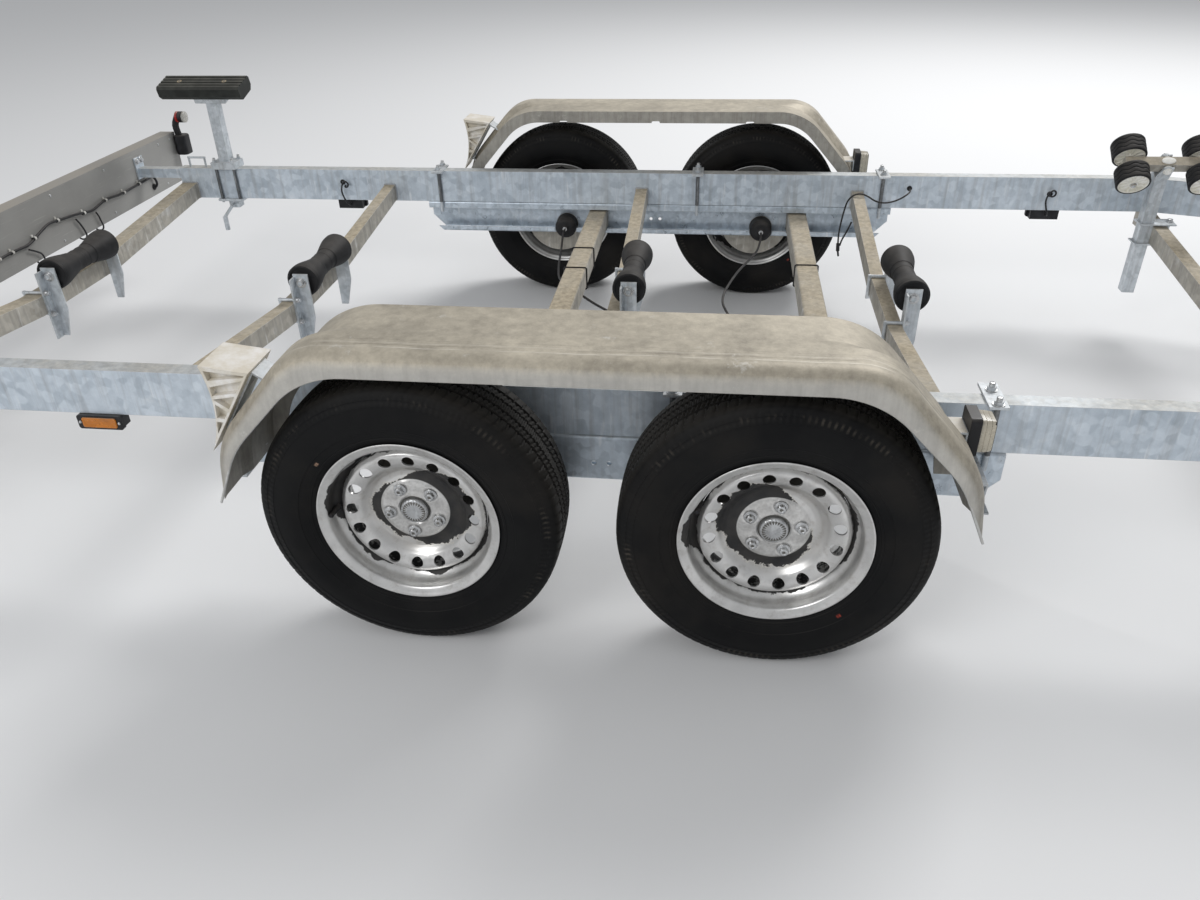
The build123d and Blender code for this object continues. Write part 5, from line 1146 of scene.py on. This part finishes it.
# x from the axles, z and radius of the corners of a fender's edge; the rear half mirrors the front
FENDER_EDGE = [(530.0, 674.0, 200.0), (700.0, 500.0, 250.0), (757.0, 372.0, 0.0)]
edge_corners = [(-x, z, r) for x, z, r in FENDER_EDGE[::-1]] + FENDER_EDGE
edge_line = resampled(filleted(edge_corners), 9.0)
hem_zinc = galvanised("hem_zinc", (0.70, 0.70, 0.68), (0.48, 0.475, 0.46), 0.2, crystal=90, metal=0.7,
                      rough=(0.3, 0.45))
HEM_Y, HEM_RADIUS, HEM_RISE = 1147.1, 2.7, 1.6
hems = [(swept(points_at(edge_line[:, 0], s * HEM_Y, edge_line[:, 1] + HEM_RISE),
               oval(HEM_RADIUS * MM, HEM_RADIUS * MM, 12), (0, 1, 0)), hem_zinc) for s in BOTH]
piece("fender_hems", hems, "chassis", fold=60)
stay_bolts = [at(end * x, s * 945, 395.6) for end in BOTH for s in BOTH for x in (752.0, 780.0)]
piece("stay_nuts", [place_bolts(13, 6.5, stay_bolts, "z", -1, washer=10.0)], "chassis")
print("hem points:", len(edge_line))

# %% [markdown]
# A lens is a rounded rectangle that steps up out of its housing, with a face pressed into fine prisms.
# Coloured plastic lets some light through, so its shader mixes in transmission. The front position lamps
# are cream, the side markers amber, and the tail lamps have three fields.

# %% Lamps
def lens_plastic(name, colour, prism=(420, 420, 420), through=0.25):
    """Moulded lens: prisms in the bump, faint cloudiness, dust on its ledges."""
    f = Finish(name, Transmission_Weight=through, IOR=1.49)
    cloud = f.noise(30)
    f.colour = f.mix(f.spread(cloud, 0.3, 0.7), scaled(colour, 0.72), colour)
    f.cover((0.36, 0.32, 0.25), f.facing_up(), 0.5)
    cells = f.add("TexVoronoi", {"Vector": f.stretched(*prism), "Scale": 1.0, "Randomness": 0.0})
    return f.done(f.spread(cloud, 0.3, 0.7, 0.18, 0.36), cells.outputs["Distance"], 0.5, 0.0008)


amber = lens_plastic("lens_amber", (0.85, 0.27, 0.02))
red = lens_plastic("lens_red", (0.55, 0.012, 0.010))
clear = lens_plastic("lens_clear", (0.80, 0.78, 0.72), through=0.4)
cream_lens = lens_plastic("lens_cream", (0.74, 0.68, 0.55), prism=(30, 30, 260), through=0.15)


def raised(outline, levels, axis, centre):
    """Outline (n, 2) stacked along an axis: each level is (height, shrink) in mm. The last level is
    closed. The outline's axes are (y, z) for x, (x, z) for y and (x, y) for z. Centre is in metres."""
    half = np.abs(outline).max(axis=0)
    rings = [np.concatenate([outline * (1 - shrink / half), np.full((len(outline), 1), height)], axis=1)
             for height, shrink in levels]
    rings.append(np.concatenate([outline * 0, np.full((len(outline), 1), levels[-1][0])], axis=1))
    grid = np.stack(rings) * MM
    order = {"x": (2, 0, 1), "y": (0, 2, 1), "z": (0, 1, 2)}[axis]
    return surface(grid[..., order] + np.asarray(centre), close_columns=True)


LAMP_X, LAMP_Y, LAMP_Z = 750.0, 988.0, 526.0
LAMP_LEVELS = [(-0.3, -0.4), (9.6, -0.4), (9.9, 0.6), (10.3, 0.6), (10.6, -0.2), (19.6, 0.4), (19.9, 1.4),
               (20.3, 1.4), (20.6, 0.6), (27.8, 1.6), (29.6, 3.4), (29.9, 6.0)]
MARKER_X, MARKER_Z = (-1190.0, 1400.0), 386.0
marker_face = rounded_rectangle(86, 26, 5)
MARKER_LEVELS = np.array([(0, 0), (2.04, 0), (2.992, 0.6), (3.4, 1.5), (3.4, 4.5), (2.8, 5.5), (2.8, 9.5)])
lamps, markers = [], []
for s in BOTH:
    lamps.append((raised(rounded_rectangle(56, 71, 10), LAMP_LEVELS, "x", at(LAMP_X, s * LAMP_Y, LAMP_Z)),
                  cream_lens))
    for x in MARKER_X:
        seat = at(x, s * 875.8, MARKER_Z)
        markers.append((raised(marker_face, MARKER_LEVELS * (s, 1), "y", seat), amber))
        for dx in (-49, 49):
            lamps.append(place_bolts(6, 2, [at(x + dx, s * 876, MARKER_Z)], "y", s, steps=12))
piece("lamp_lenses", lamps, "chassis")
piece("marker_lenses", markers, "chassis")

BOARD_X, BOARD_HALF, TAIL_Y, TAIL_Z = -2040.0, 1148.0, 960.0, 484.0
tail = []
for s in BOTH:
    seat = at(BOARD_X - 3.0, s * TAIL_Y, TAIL_Z)
    housing = [(0, 0), (-34, 0), (-38, 1.5), (-39.5, 4), (-39.5, 6)]
    tail.append((raised(rounded_rectangle(230, 138, 12), housing, "x", seat), black_plastic))
    rear_x = seat[0] - 39.5 * MM
    lens_levels = [(0, 0), (-13, 0.5), (-16.5, 2.0), (-18.2, 5.0), (-18.5, 9.0)]
    for y, width, tone in ((-72.0, 70.0, clear), (0.0, 70.0, red), (72.0, 70.0, amber)):
        lens_place = (rear_x, s * (TAIL_Y + y) * MM, TAIL_Z * MM)
        tail.append((raised(rounded_rectangle(width, 124, 7), lens_levels, "x", lens_place), tone))
    screws = [(rear_x, s * (TAIL_Y + y) * MM, z * MM) for y in (-36, 36) for z in (430, 538)]
    tail.append(place_bolts(6, 2, screws, "x", -1, steps=12))
    side_block = at(BOARD_X + 26, s * (BOARD_HALF + 4), 492)
    block = rounded_rectangle(50, 58, 16, 8)
    block_levels = [(0, 3), (2, 0.6), (5, 0), (72, 0), (76, 1.2), (78, 4)]
    tail += [(raised(block, block_levels, "z", side_block), black_plastic),
             (raised(block * (-1, 1), [(0, 3.0)], "z", side_block), black_plastic)]
    arm = np.array([(20, 0, 556), (17, 0.5, 575), (13.5, 1.5, 594), (13, 2, 606), (16, 3, 618),
                    (24, 4.5, 634), (31, 5.6, 646), (34, 6, 650)])
    arm_path = points_at(BOARD_X + arm[:, 0], s * (BOARD_HALF + arm[:, 1]), arm[:, 2])
    tail.append((swept(arm_path, oval(13.2 * MM, 13.2 * MM, 20), (0, 1, 0)), black_rubber))
    end = at(BOARD_X + 24, s * (BOARD_HALF + 6), 640)
    for low, high, dome, tone in ((0.0, 13.0, 3.0, red), (13.0, 29.0, 0.4, black_plastic),
                                  (29.0, 42.0, 3.0, clear)):
        rim = np.array([(0, low), (16, low), (20.5, low + dome * 0.6), (22, low + dome), (22, high - dome),
                        (20.5, high - dome * 0.6), (16, high), (0, high)])
        tail.append((lathe(rim, 1, end, 36, axis="x"), tone))
piece("tail_lamps", tail, "board_body", ["rear_lamps"])
print("lamp pieces:", len(lamps) + len(markers) + len(tail))

# %% [markdown]
# The side pads are black rubber with two countersunk bolts each. The recess is a shallow cone in tan dust
# with a screw head at its bottom. The axes of a pad lean outwards, so places on it are turned by its tilt.

# %% Pads and their bolts
PAD_X, PAD_Y, PAD_Z, PAD_TILT, PAD_THICK = -1692.0, 846.0, 812.0, math.radians(16.0), 52.0
pad_rubber = dusty_rubber("pad_rubber", (0.017, 0.019, 0.017), 0.45, (0.15, 0.14, 0.115))
dress("side_pads", pad_rubber)
tan_dust = dusty_rubber("tan_dust", (0.27, 0.215, 0.145), 0.4, (0.36, 0.30, 0.21), 0.8)


def on_pad(shape, x, out, sign):
    """A shape about the Z axis, carried to the top of a pad at (x, out) in mm."""
    points, faces = shape
    outward = np.array((0, sign * math.cos(PAD_TILT), math.sin(PAD_TILT)))
    upward = np.array((0, -sign * math.sin(PAD_TILT), math.cos(PAD_TILT)))
    middle = np.array(at(PAD_X + x, sign * PAD_Y, PAD_Z))
    base = middle + outward * out * MM + upward * PAD_THICK / 2 * MM
    return base + points[:, :1] * (1, 0, 0) + points[:, 1:2] * outward + points[:, 2:] * upward, faces


ring = np.array([(0.0, 0.3), (5.4, 0.3), (6.6, 0.35), (8.6, 0.5), (8.9, 0.05)])
head = np.array([(0.0, 0.5), (1.6, 0.5), (1.9, 1.1), (4.4, 1.1), (4.8, 0.3)])
ring, head = lathe(ring, steps=28, axis="z"), lathe(head, steps=24, axis="z")
pad_bolts = []
for s in BOTH:
    for x in (-88.0, 88.0):
        pad_bolts += [(on_pad(ring, x, 0.0, s), tan_dust), (on_pad(head, x, 0.0, s), dull_steel)]
piece("pad_bolts", pad_bolts, "chassis")
for node in ("side_pad_posts", "roller_posts"):
    dress(node, small_zinc)

# %% [markdown]
# The board's arms end in plates with round bolt heads, and its leads are held by clips bound with tape. A
# clip is a short sleeve carried along the lead, and the tape another sleeve beside it.

# %% Board fixings
heads = [at(BOARD_X + 4.6, s * (RAIL_Y + dy), 542) for s in BOTH for dy in (-14.0, 14.0)]
dome_rows = np.array([(12.5, 0.2), (13.0, 0.6), (13.0, 1.8), (12.5, 2.3), (9.6, 2.3), (9.4, 5.0), (8.0, 8.2),
                      (5.0, 9.6), (0.0, 9.8)])
round_heads = repeated(lathe(dome_rows, steps=28, axis="x"), heads)
rivets = [at(BOARD_X - 0.2, s * y, z) for s in BOTH
          for y in (300.0, 620.0, 1010.0, 1100.0) for z in (405.0, 563.0)]
piece("board_bolts", [(round_heads, zinc_bolt), place_bolts(8, 2.2, rivets, "x", 1, steps=12)],
      "board_body")

white_clip = dusty_rubber("white_clip", (0.55, 0.54, 0.50), 0.2, (0.35, 0.31, 0.25), 0.5)
black_tape = dusty_rubber("black_tape", (0.010, 0.010, 0.011), 0.15, rough=0.35, grain=90)
CLIP_X = 9
CLIPS = [(800, 462), (690, 460), (568, 467), (430, 462), (285, 482), (150, 464), (32, 457)]     # y, z
SLEEVES = [
    # start along the lead from the clip's middle, length, radius, material
    (-9.0, 6.0, 5.6, black_tape), (-3.0, 9.0, 6.1, white_clip), (6.0, 7.0, 5.5, black_tape),
]
clips = []
for s in BOTH:
    for y, z in CLIPS:
        centre = at(BOARD_X + CLIP_X, s * y, z)
        for start, length, radius, material in SLEEVES:
            along = start + np.array([0, 0, 0.5, length - 0.5, length, length])
            ring_radius = np.array([4.4, radius - 0.4, radius, radius, radius - 0.4, 4.4])
            clips.append((turned(ring_radius, along, centre, 20, axis="y"), material))
        foot = raised(rounded_rectangle(9, 13, 2, 3), [(0, 0), (3.4, 0.2)], "x", at(BOARD_X, s * y, z + 6))
        clips.append((foot, white_clip))
grommet = np.array([(4.6, 0.0), (12.0, 0.0), (12.5, 1.0), (12.0, 3.2), (8.5, 4.2), (5.4, 6.4), (4.6, 6.6)])
clips += [(lathe(grommet, 1, at(BOARD_X, s * 906, 420), 28, axis="x"), black_rubber) for s in BOTH]
piece("harness_clips", clips, "board_body")

GROMMETS = [(1398.0, 463.0), (-1202.0, 474.0)]       # x from the axles, z
rail_grommets = []
ring = np.array([(3.6, 0.2), (9.6, 0.2), (10.0, 1.0), (9.4, 2.6), (6.4, 3.6), (4.2, 5.4), (3.4, 5.6)])
for s in BOTH:
    for x, z in GROMMETS:
        place = at(x, s * RAIL_INNER, z)
        rail_grommets.append((lathe(ring, -s, place, 28), black_rubber))
piece("rail_grommets", rail_grommets, "chassis")

tie = rounded_rectangle(0.0048, 0.0016, 0.0005, 3)
rounded = rounded_rectangle(73.6, 73.6, 6, 10)
loop = np.concatenate([rounded, rounded[:1]])
ties = []
for s in BOTH:
    for tube_x, y in ((-217.0, 232.0), (-217.0, 420.0), (527.0, 300.0)):
        round_tube = points_at(tube_x + loop[:, 0], s * y, 338 + loop[:, 1])
        ties.append((swept(round_tube, tie, (0, 1, 0)), black_plastic))
piece("cable_ties", ties, "chassis")
print("clips:", len(clips), "grommets:", len(rail_grommets), "ties:", len(ties))

# %% [markdown]
# The drawbar's front isn't in the photo, so it follows the type. The gaiter is one bellows: its radius is a
# mean value plus a cosine along the length, and both shrink towards the coupling.

# %% Gaiter and coupling
HOUSING_FRONT, GAITER_LENGTH, FOLDS, DRAW_Z = 4070.0, 130.0, 6, 468.0
along = np.linspace(0, GAITER_LENGTH, FOLDS * 12 + 1)
fold_radius = 39 - 5 * along / GAITER_LENGTH - 4.6 * np.cos(2 * np.pi * along * FOLDS / GAITER_LENGTH)
bellows = np.concatenate([[(0, 0), (36, 0), (36, 2)], np.stack([fold_radius, along], axis=-1)[3:-3],
                          [(32, GAITER_LENGTH - 2), (32, GAITER_LENGTH), (0, GAITER_LENGTH)]])
front = at(HOUSING_FRONT, 0, DRAW_Z)
gaiter = lathe(bellows, 1, front, 64, axis="x")
piece("gaiter_bellows", [(gaiter, black_rubber)], "chassis", ["coupling_gaiter"])
hose_bands = []
for start, radius in ((1.5, 36.6), (GAITER_LENGTH - 7.5, 34.4)):
    band = np.array([(radius - 2, start), (radius, start), (radius, start + 6), (radius - 2, start + 6)])
    hose_bands.append((lathe(band, 1, front, 64, axis="x"), zinc_bolt))

housing_bolts = [at(x, s * y, 526) for s in BOTH
                 for x, y in ((3760.0, 150.0), (3860.0, 120.0), (3960.0, 90.0))]
hose_bands.append(place_bolts(19, 9, housing_bolts, "z", 1, washer=14.0))
under_bolts = [(x, y, 399 * MM) for x, y, z in housing_bolts]
hose_bands.append(place_bolts(19, 9, under_bolts, "z", -1, washer=14.0))
side_bolts = [at(x, 46, 466) for x in (3900.0, 4010.0)]
hose_bands.append(place_bolts(17, 8, side_bolts, "y", 1, washer=12.0))
piece("coupling_fixings", hose_bands, "chassis")
grip = dusty_rubber("grip_black", (0.012, 0.012, 0.013), 0.2, rough=0.55)
lever_turns = np.linspace(0, 88, 60)
lever_grip = np.stack([14.3 + 0.9 * np.cos(2 * np.pi * lever_turns / 8.0), lever_turns], axis=-1)
lever_grip = np.concatenate([[(0, 0), (13, 0)], lever_grip[1:-1], [(12, 89), (0, 90)]])


def between_points(profile, start, end, steps=24):
    """Surface of revolution about the line from start to end (metres); the profile is (radius, run) in mm."""
    ahead = unit(np.subtract(end, start))
    across = unit(np.cross(ahead, (0.3, 0.2, 1.0) if abs(ahead[2]) < 0.9 else (1.0, 0.2, 0.1)))
    around = turns(steps)[..., None]
    ring = np.cos(around) * across + np.sin(around) * np.cross(ahead, across)
    grid = start + ring * profile[None, :, :1] * MM + ahead * profile[None, :, 1:] * MM
    return surface(grid, close_rows=True)


lever_low = at(HOUSING_FRONT - 75, -57, 841)
lever_high = at(HOUSING_FRONT - 80, -57, 929.6)
piece("lever_grip", [(between_points(lever_grip, lever_low, lever_high), grip)], "chassis")
print("gaiter folds:", FOLDS)

# %% [markdown]
# The jockey wheel is a solid rubber tyre with ribs round its tread, on a pressed steel centre with five
# holes shown as sunk dishes. The profile runs over the tread and down the wall to the centre's rim.

# %% Jockey wheel
JACK_X, JACK_Y, JACK_TRAIL, JACK_RADIUS = 3760.0, -262.0, 42.0, 100.0
jack_centre = at(JACK_X - JACK_TRAIL, JACK_Y, JACK_RADIUS)
tyre_half = np.array([(100.0, 0.0), (100.0, 2.2), (98.2, 3.0), (98.2, 4.6), (100.0, 5.4), (99.8, 9.6),
                      (98.0, 10.4), (97.9, 12.0), (99.4, 13.0), (98.6, 17.0), (96.0, 21.4), (92.0, 25.6),
                      (87.0, 27.6), (81.0, 28.0), (78.0, 27.2), (76.0, 27.4), (71.0, 25.6), (70.0, 23.0)])
rubber = np.concatenate([tyre_half[::-1] * (1, -1), tyre_half[1:]])
plate_half = np.array([(70.0, 23.0), (70.6, 25.0), (69.0, 25.4), (67.6, 24.0), (66.8, 14.0), (64.0, 9.0),
                       (46.0, 8.0), (28.0, 8.2), (22.4, 11.0), (20.0, 20.0), (20.0, 29.4), (19.4, 30.0),
                       (8.4, 30.0)])
angle = turns(120)
dish = np.clip((np.cos(5 * angle) - 0.35) * 3.0, 0, 1) * ((plate_half[:, 0] > 27) & (plate_half[:, 0] < 60))
zinc_plates = []
for way in BOTH:
    height = way * (plate_half[:, 1] - 3.4 * dish)
    zinc_plates.append((turned(plate_half[:, 0], height, jack_centre, 120), small_zinc))
bore = turned(np.array([8.4, 8.4]), np.array([-30.0, 30.0]), jack_centre, 120)
piece("jockey_tyre", [(lathe(rubber, 1, jack_centre, 120), black_rubber), (bore, small_zinc)]
      + zinc_plates, "jockey_wheel_body", ["jockey_wheel"])
JACK_TOP, FORK_HALF = 880.0, 40.0
axle_nuts = [(jack_centre[0], (JACK_Y + way * (FORK_HALF + 0.2)) * MM, jack_centre[2]) for way in BOTH]
piece("jockey_axle_nuts", [place_bolts(17, 5, axle_nuts[:1], "y", 1, washer=11.0),
                           place_bolts(17, 5, axle_nuts[1:], "y", -1, washer=11.0)],
      "jockey_fork_body")

ribbed = np.stack([13.4 + 0.8 * np.cos(np.linspace(0, 20 * np.pi, 60)), np.linspace(3, 80, 60)], axis=-1)
knob = np.concatenate([[(0, 0), (10.5, 0)], ribbed, [(11, 83.4), (0, 84)]])
crank_knob = between_points(knob, at(JACK_X, JACK_Y - 140, 926.2), at(JACK_X, JACK_Y - 140, 1010))
cap = np.array([(30.0, 0.0), (30.6, 1.0), (30.6, 9.0), (29.0, 11.0), (26.2, 11.6), (26.2, 30.0),
                (24.0, 31.6), (9.4, 31.8)])
tube_cap = turned(cap[:, 0], JACK_TOP - 10 + cap[:, 1], at(JACK_X, JACK_Y, 0), 48, axis="z")
clamp_rows = np.array([(0, 0), (6.5, 0), (6.5, 16), (12, 18), (12.5, 26), (6.5, 28), (6.0, 30), (0, 30)])
clamp_grip = between_points(clamp_rows, at(JACK_X + 37, JACK_Y, 463), at(JACK_X + 68, JACK_Y, 463))
piece("jockey_trim", [(crank_knob, grip), (tube_cap, zinc_bolt), (clamp_grip, zinc_bolt)], "chassis")
print("jockey wheel faces:", len(rubber) * 120)

# %% [markdown]
# The winch's drum has two flanges with lightening holes shown as dishes: the sheet is sunk where the cosine
# of six times the angle is high. The crank's grip is ribbed by a cosine along its length.

# %% Winch and bow stop
WINCH_X, WINCH_Z, DRUM_DX, CRANK_DX, CRANK_DROP = 3050.0, 1004.0, -22.0, 34.0, 44.0
drum_place = at(WINCH_X + DRUM_DX, 0, WINCH_Z)
angle = turns(180)
flange = np.array([(10.0, 68.0), (10.0, 50.2), (14.0, 50.2), (20.0, 50.2), (22.0, 50.2), (40.0, 50.2),
                   (49.0, 50.2), (51.0, 49.8), (52.2, 48.6), (52.2, 46.8), (51.0, 45.9), (24.0, 45.9),
                   (20.3, 44.0), (20.3, 0.0)])
hollow = (np.clip((np.cos(6 * angle) - 0.2) * 2.5, 0, 1) * ((flange[:, 0] > 21) & (flange[:, 0] < 41)
                                                            & (flange[:, 1] > 50)) * 2.4)
shapes = []
for way in BOTH:
    shapes.append((turned(flange[:, 0], way * (flange[:, 1] - hollow), drum_place, 180), small_zinc))
for way in BOTH:
    end = np.array([(10.0, 68.0), (9.0, 68.0), (8.6, 67.4), (0.0, 67.2)])
    shapes.append((lathe(end, way, drum_place, 180), small_zinc))
piece("winch_reel", shapes, "winch_drum_body", ["winch_drum"], fold=40)

crank_end = at(WINCH_X + CRANK_DX + 172, -170.4, WINCH_Z - CRANK_DROP + 66)
crank_root = (crank_end[0], -84.4 * MM, crank_end[2])
grip_run = np.linspace(0, 84, 70)
grip_rows = np.stack([14.5 + 0.9 * np.cos(2 * np.pi * grip_run / 7.0), grip_run], axis=-1)
grip_rows = np.concatenate([[(0, 0), (13, 0)], grip_rows[1:-1], [(13, 85.4), (0, 86)]])
nut_place = [at(WINCH_X + CRANK_DX, -92, WINCH_Z - CRANK_DROP)]
piece("crank_grip", [(between_points(grip_rows, crank_root, crank_end, 28), grip),
                     place_bolts(19, 7, nut_place, "y", -1, washer=13.0)],
      "winch_crank_body")

frame_bolts = [at(WINCH_X + dx, s * 70.4, z) for s in BOTH
               for dx, z in ((-55.0, 945.0), (55.0, 945.0), (0.0, 1034.0))]
winch_trim = [place_bolts(13, 5, [p for p in frame_bolts if p[1] > 0], "y", 1, washer=9.5),
              place_bolts(13, 5, [p for p in frame_bolts if p[1] < 0], "y", -1, washer=9.5)]
foot_bolts = [at(WINCH_X + dx, s * 56, 498) for s in BOTH for dx in (-46.0, 46.0)]
winch_trim.append(place_bolts(17, 8, foot_bolts, "z", 1, washer=13.0))
stop_bolts = [at(WINCH_X - 288, s * 20.2, 860) for s in BOTH]
winch_trim += [place_bolts(17, 8, stop_bolts[:1], "y", 1, washer=12.0),
               place_bolts(17, 8, stop_bolts[1:], "y", -1, washer=12.0)]
piece("winch_fixings", winch_trim, "chassis")
for node in ("winch_post", "coupling_housing", "jockey_tube"):
    dress(node, small_zinc)
print("winch bolts:", len(frame_bolts) + len(foot_bolts))

# %% [markdown]
# The front lamps stand on strips whose tops carry a thin cream cover, and the reflectors on the board's
# rear are triangles of red prisms in a black frame.

# %% Strips and reflectors
strip_cover = rounded_rectangle(35, 59, 2, 4)
cover_levels = [(0, 0), (0.25, 0.1), (0.4, 1.0)]
covers = [(raised(strip_cover, cover_levels, "z", at(709.5, s * LAMP_Y, 537.9)), cream_plastic) for s in BOTH]
piece("strip_tops", covers, "chassis")
corner_angle = np.array([90.0, 210.0, 330.0])
triangle = np.stack([np.cos(np.radians(corner_angle)), np.sin(np.radians(corner_angle))], axis=-1)
reflectors = []
for s in BOTH:
    place = at(BOARD_X - 3.1, s * 740, 470)
    for size, low, high, tone in ((90.0, 0.0, 7.0, black_plastic), (78.0, 7.0, 9.5, red)):
        levels = [(-low, 0), (-high + 0.6, 0), (-high, 1.2), (-high, 4)]
        reflectors.append((raised(chaikin(triangle * size), levels, "x", place), tone))
piece("rear_reflectors", reflectors, "board_body")
print("reflectors:", len(reflectors) // 2)

# %% [markdown]
# The rockers turn on a bolt through the post's two cheeks, and carry a cream cap on their dusty tops. One
# clamp bolt with two nuts holds each post against the front crossmember.

# %% Rocker caps and post nuts
CHEEK_FACE, ROCKER_TOP = 28.0, 16.0
cap_levels = [(ROCKER_TOP - 0.3, 0), (ROCKER_TOP + 2.4, 0), (ROCKER_TOP + 4.2, 1.6), (ROCKER_TOP + 5.0, 5.0)]
cap_shape = raised(oval(22, 12.5, 40), cap_levels, "z", (0, 0, 0))
pivot_radii, pivot_heights = bolt_head(19, 7, 14.0, dome=0.6)
CLAMP_BOLT_X, CLAMP_BOLT_Y, OVER, UNDER = 1776.5, 720.0, 397.05, 332.67
for side_name, sign in SIDES:
    piece(f"rocker_cap_{side_name}", [(in_head(cap_shape, 0, sign), white_plastic)],
          f"rocker_{side_name}_body")
    heads = []
    for way, material in ((1, zinc_bolt), (-1, white_plastic)):
        head = turned(pivot_radii, way * (CHEEK_FACE + pivot_heights), steps=len(pivot_radii))
        heads.append((in_head(head, 0, sign), material))
    for way, z in ((1, OVER + 5), (-1, UNDER - 5)):
        nut_place = [at(CLAMP_BOLT_X, sign * CLAMP_BOLT_Y, z)]
        heads.append(place_bolts(17, 8, nut_place, "z", way, washer=12.0))
    piece(f"post_nuts_{side_name}", heads, "chassis")
    dress(f"rocker_{side_name}", beam_zinc)
print("post nuts:", 2 * len(SIDES))
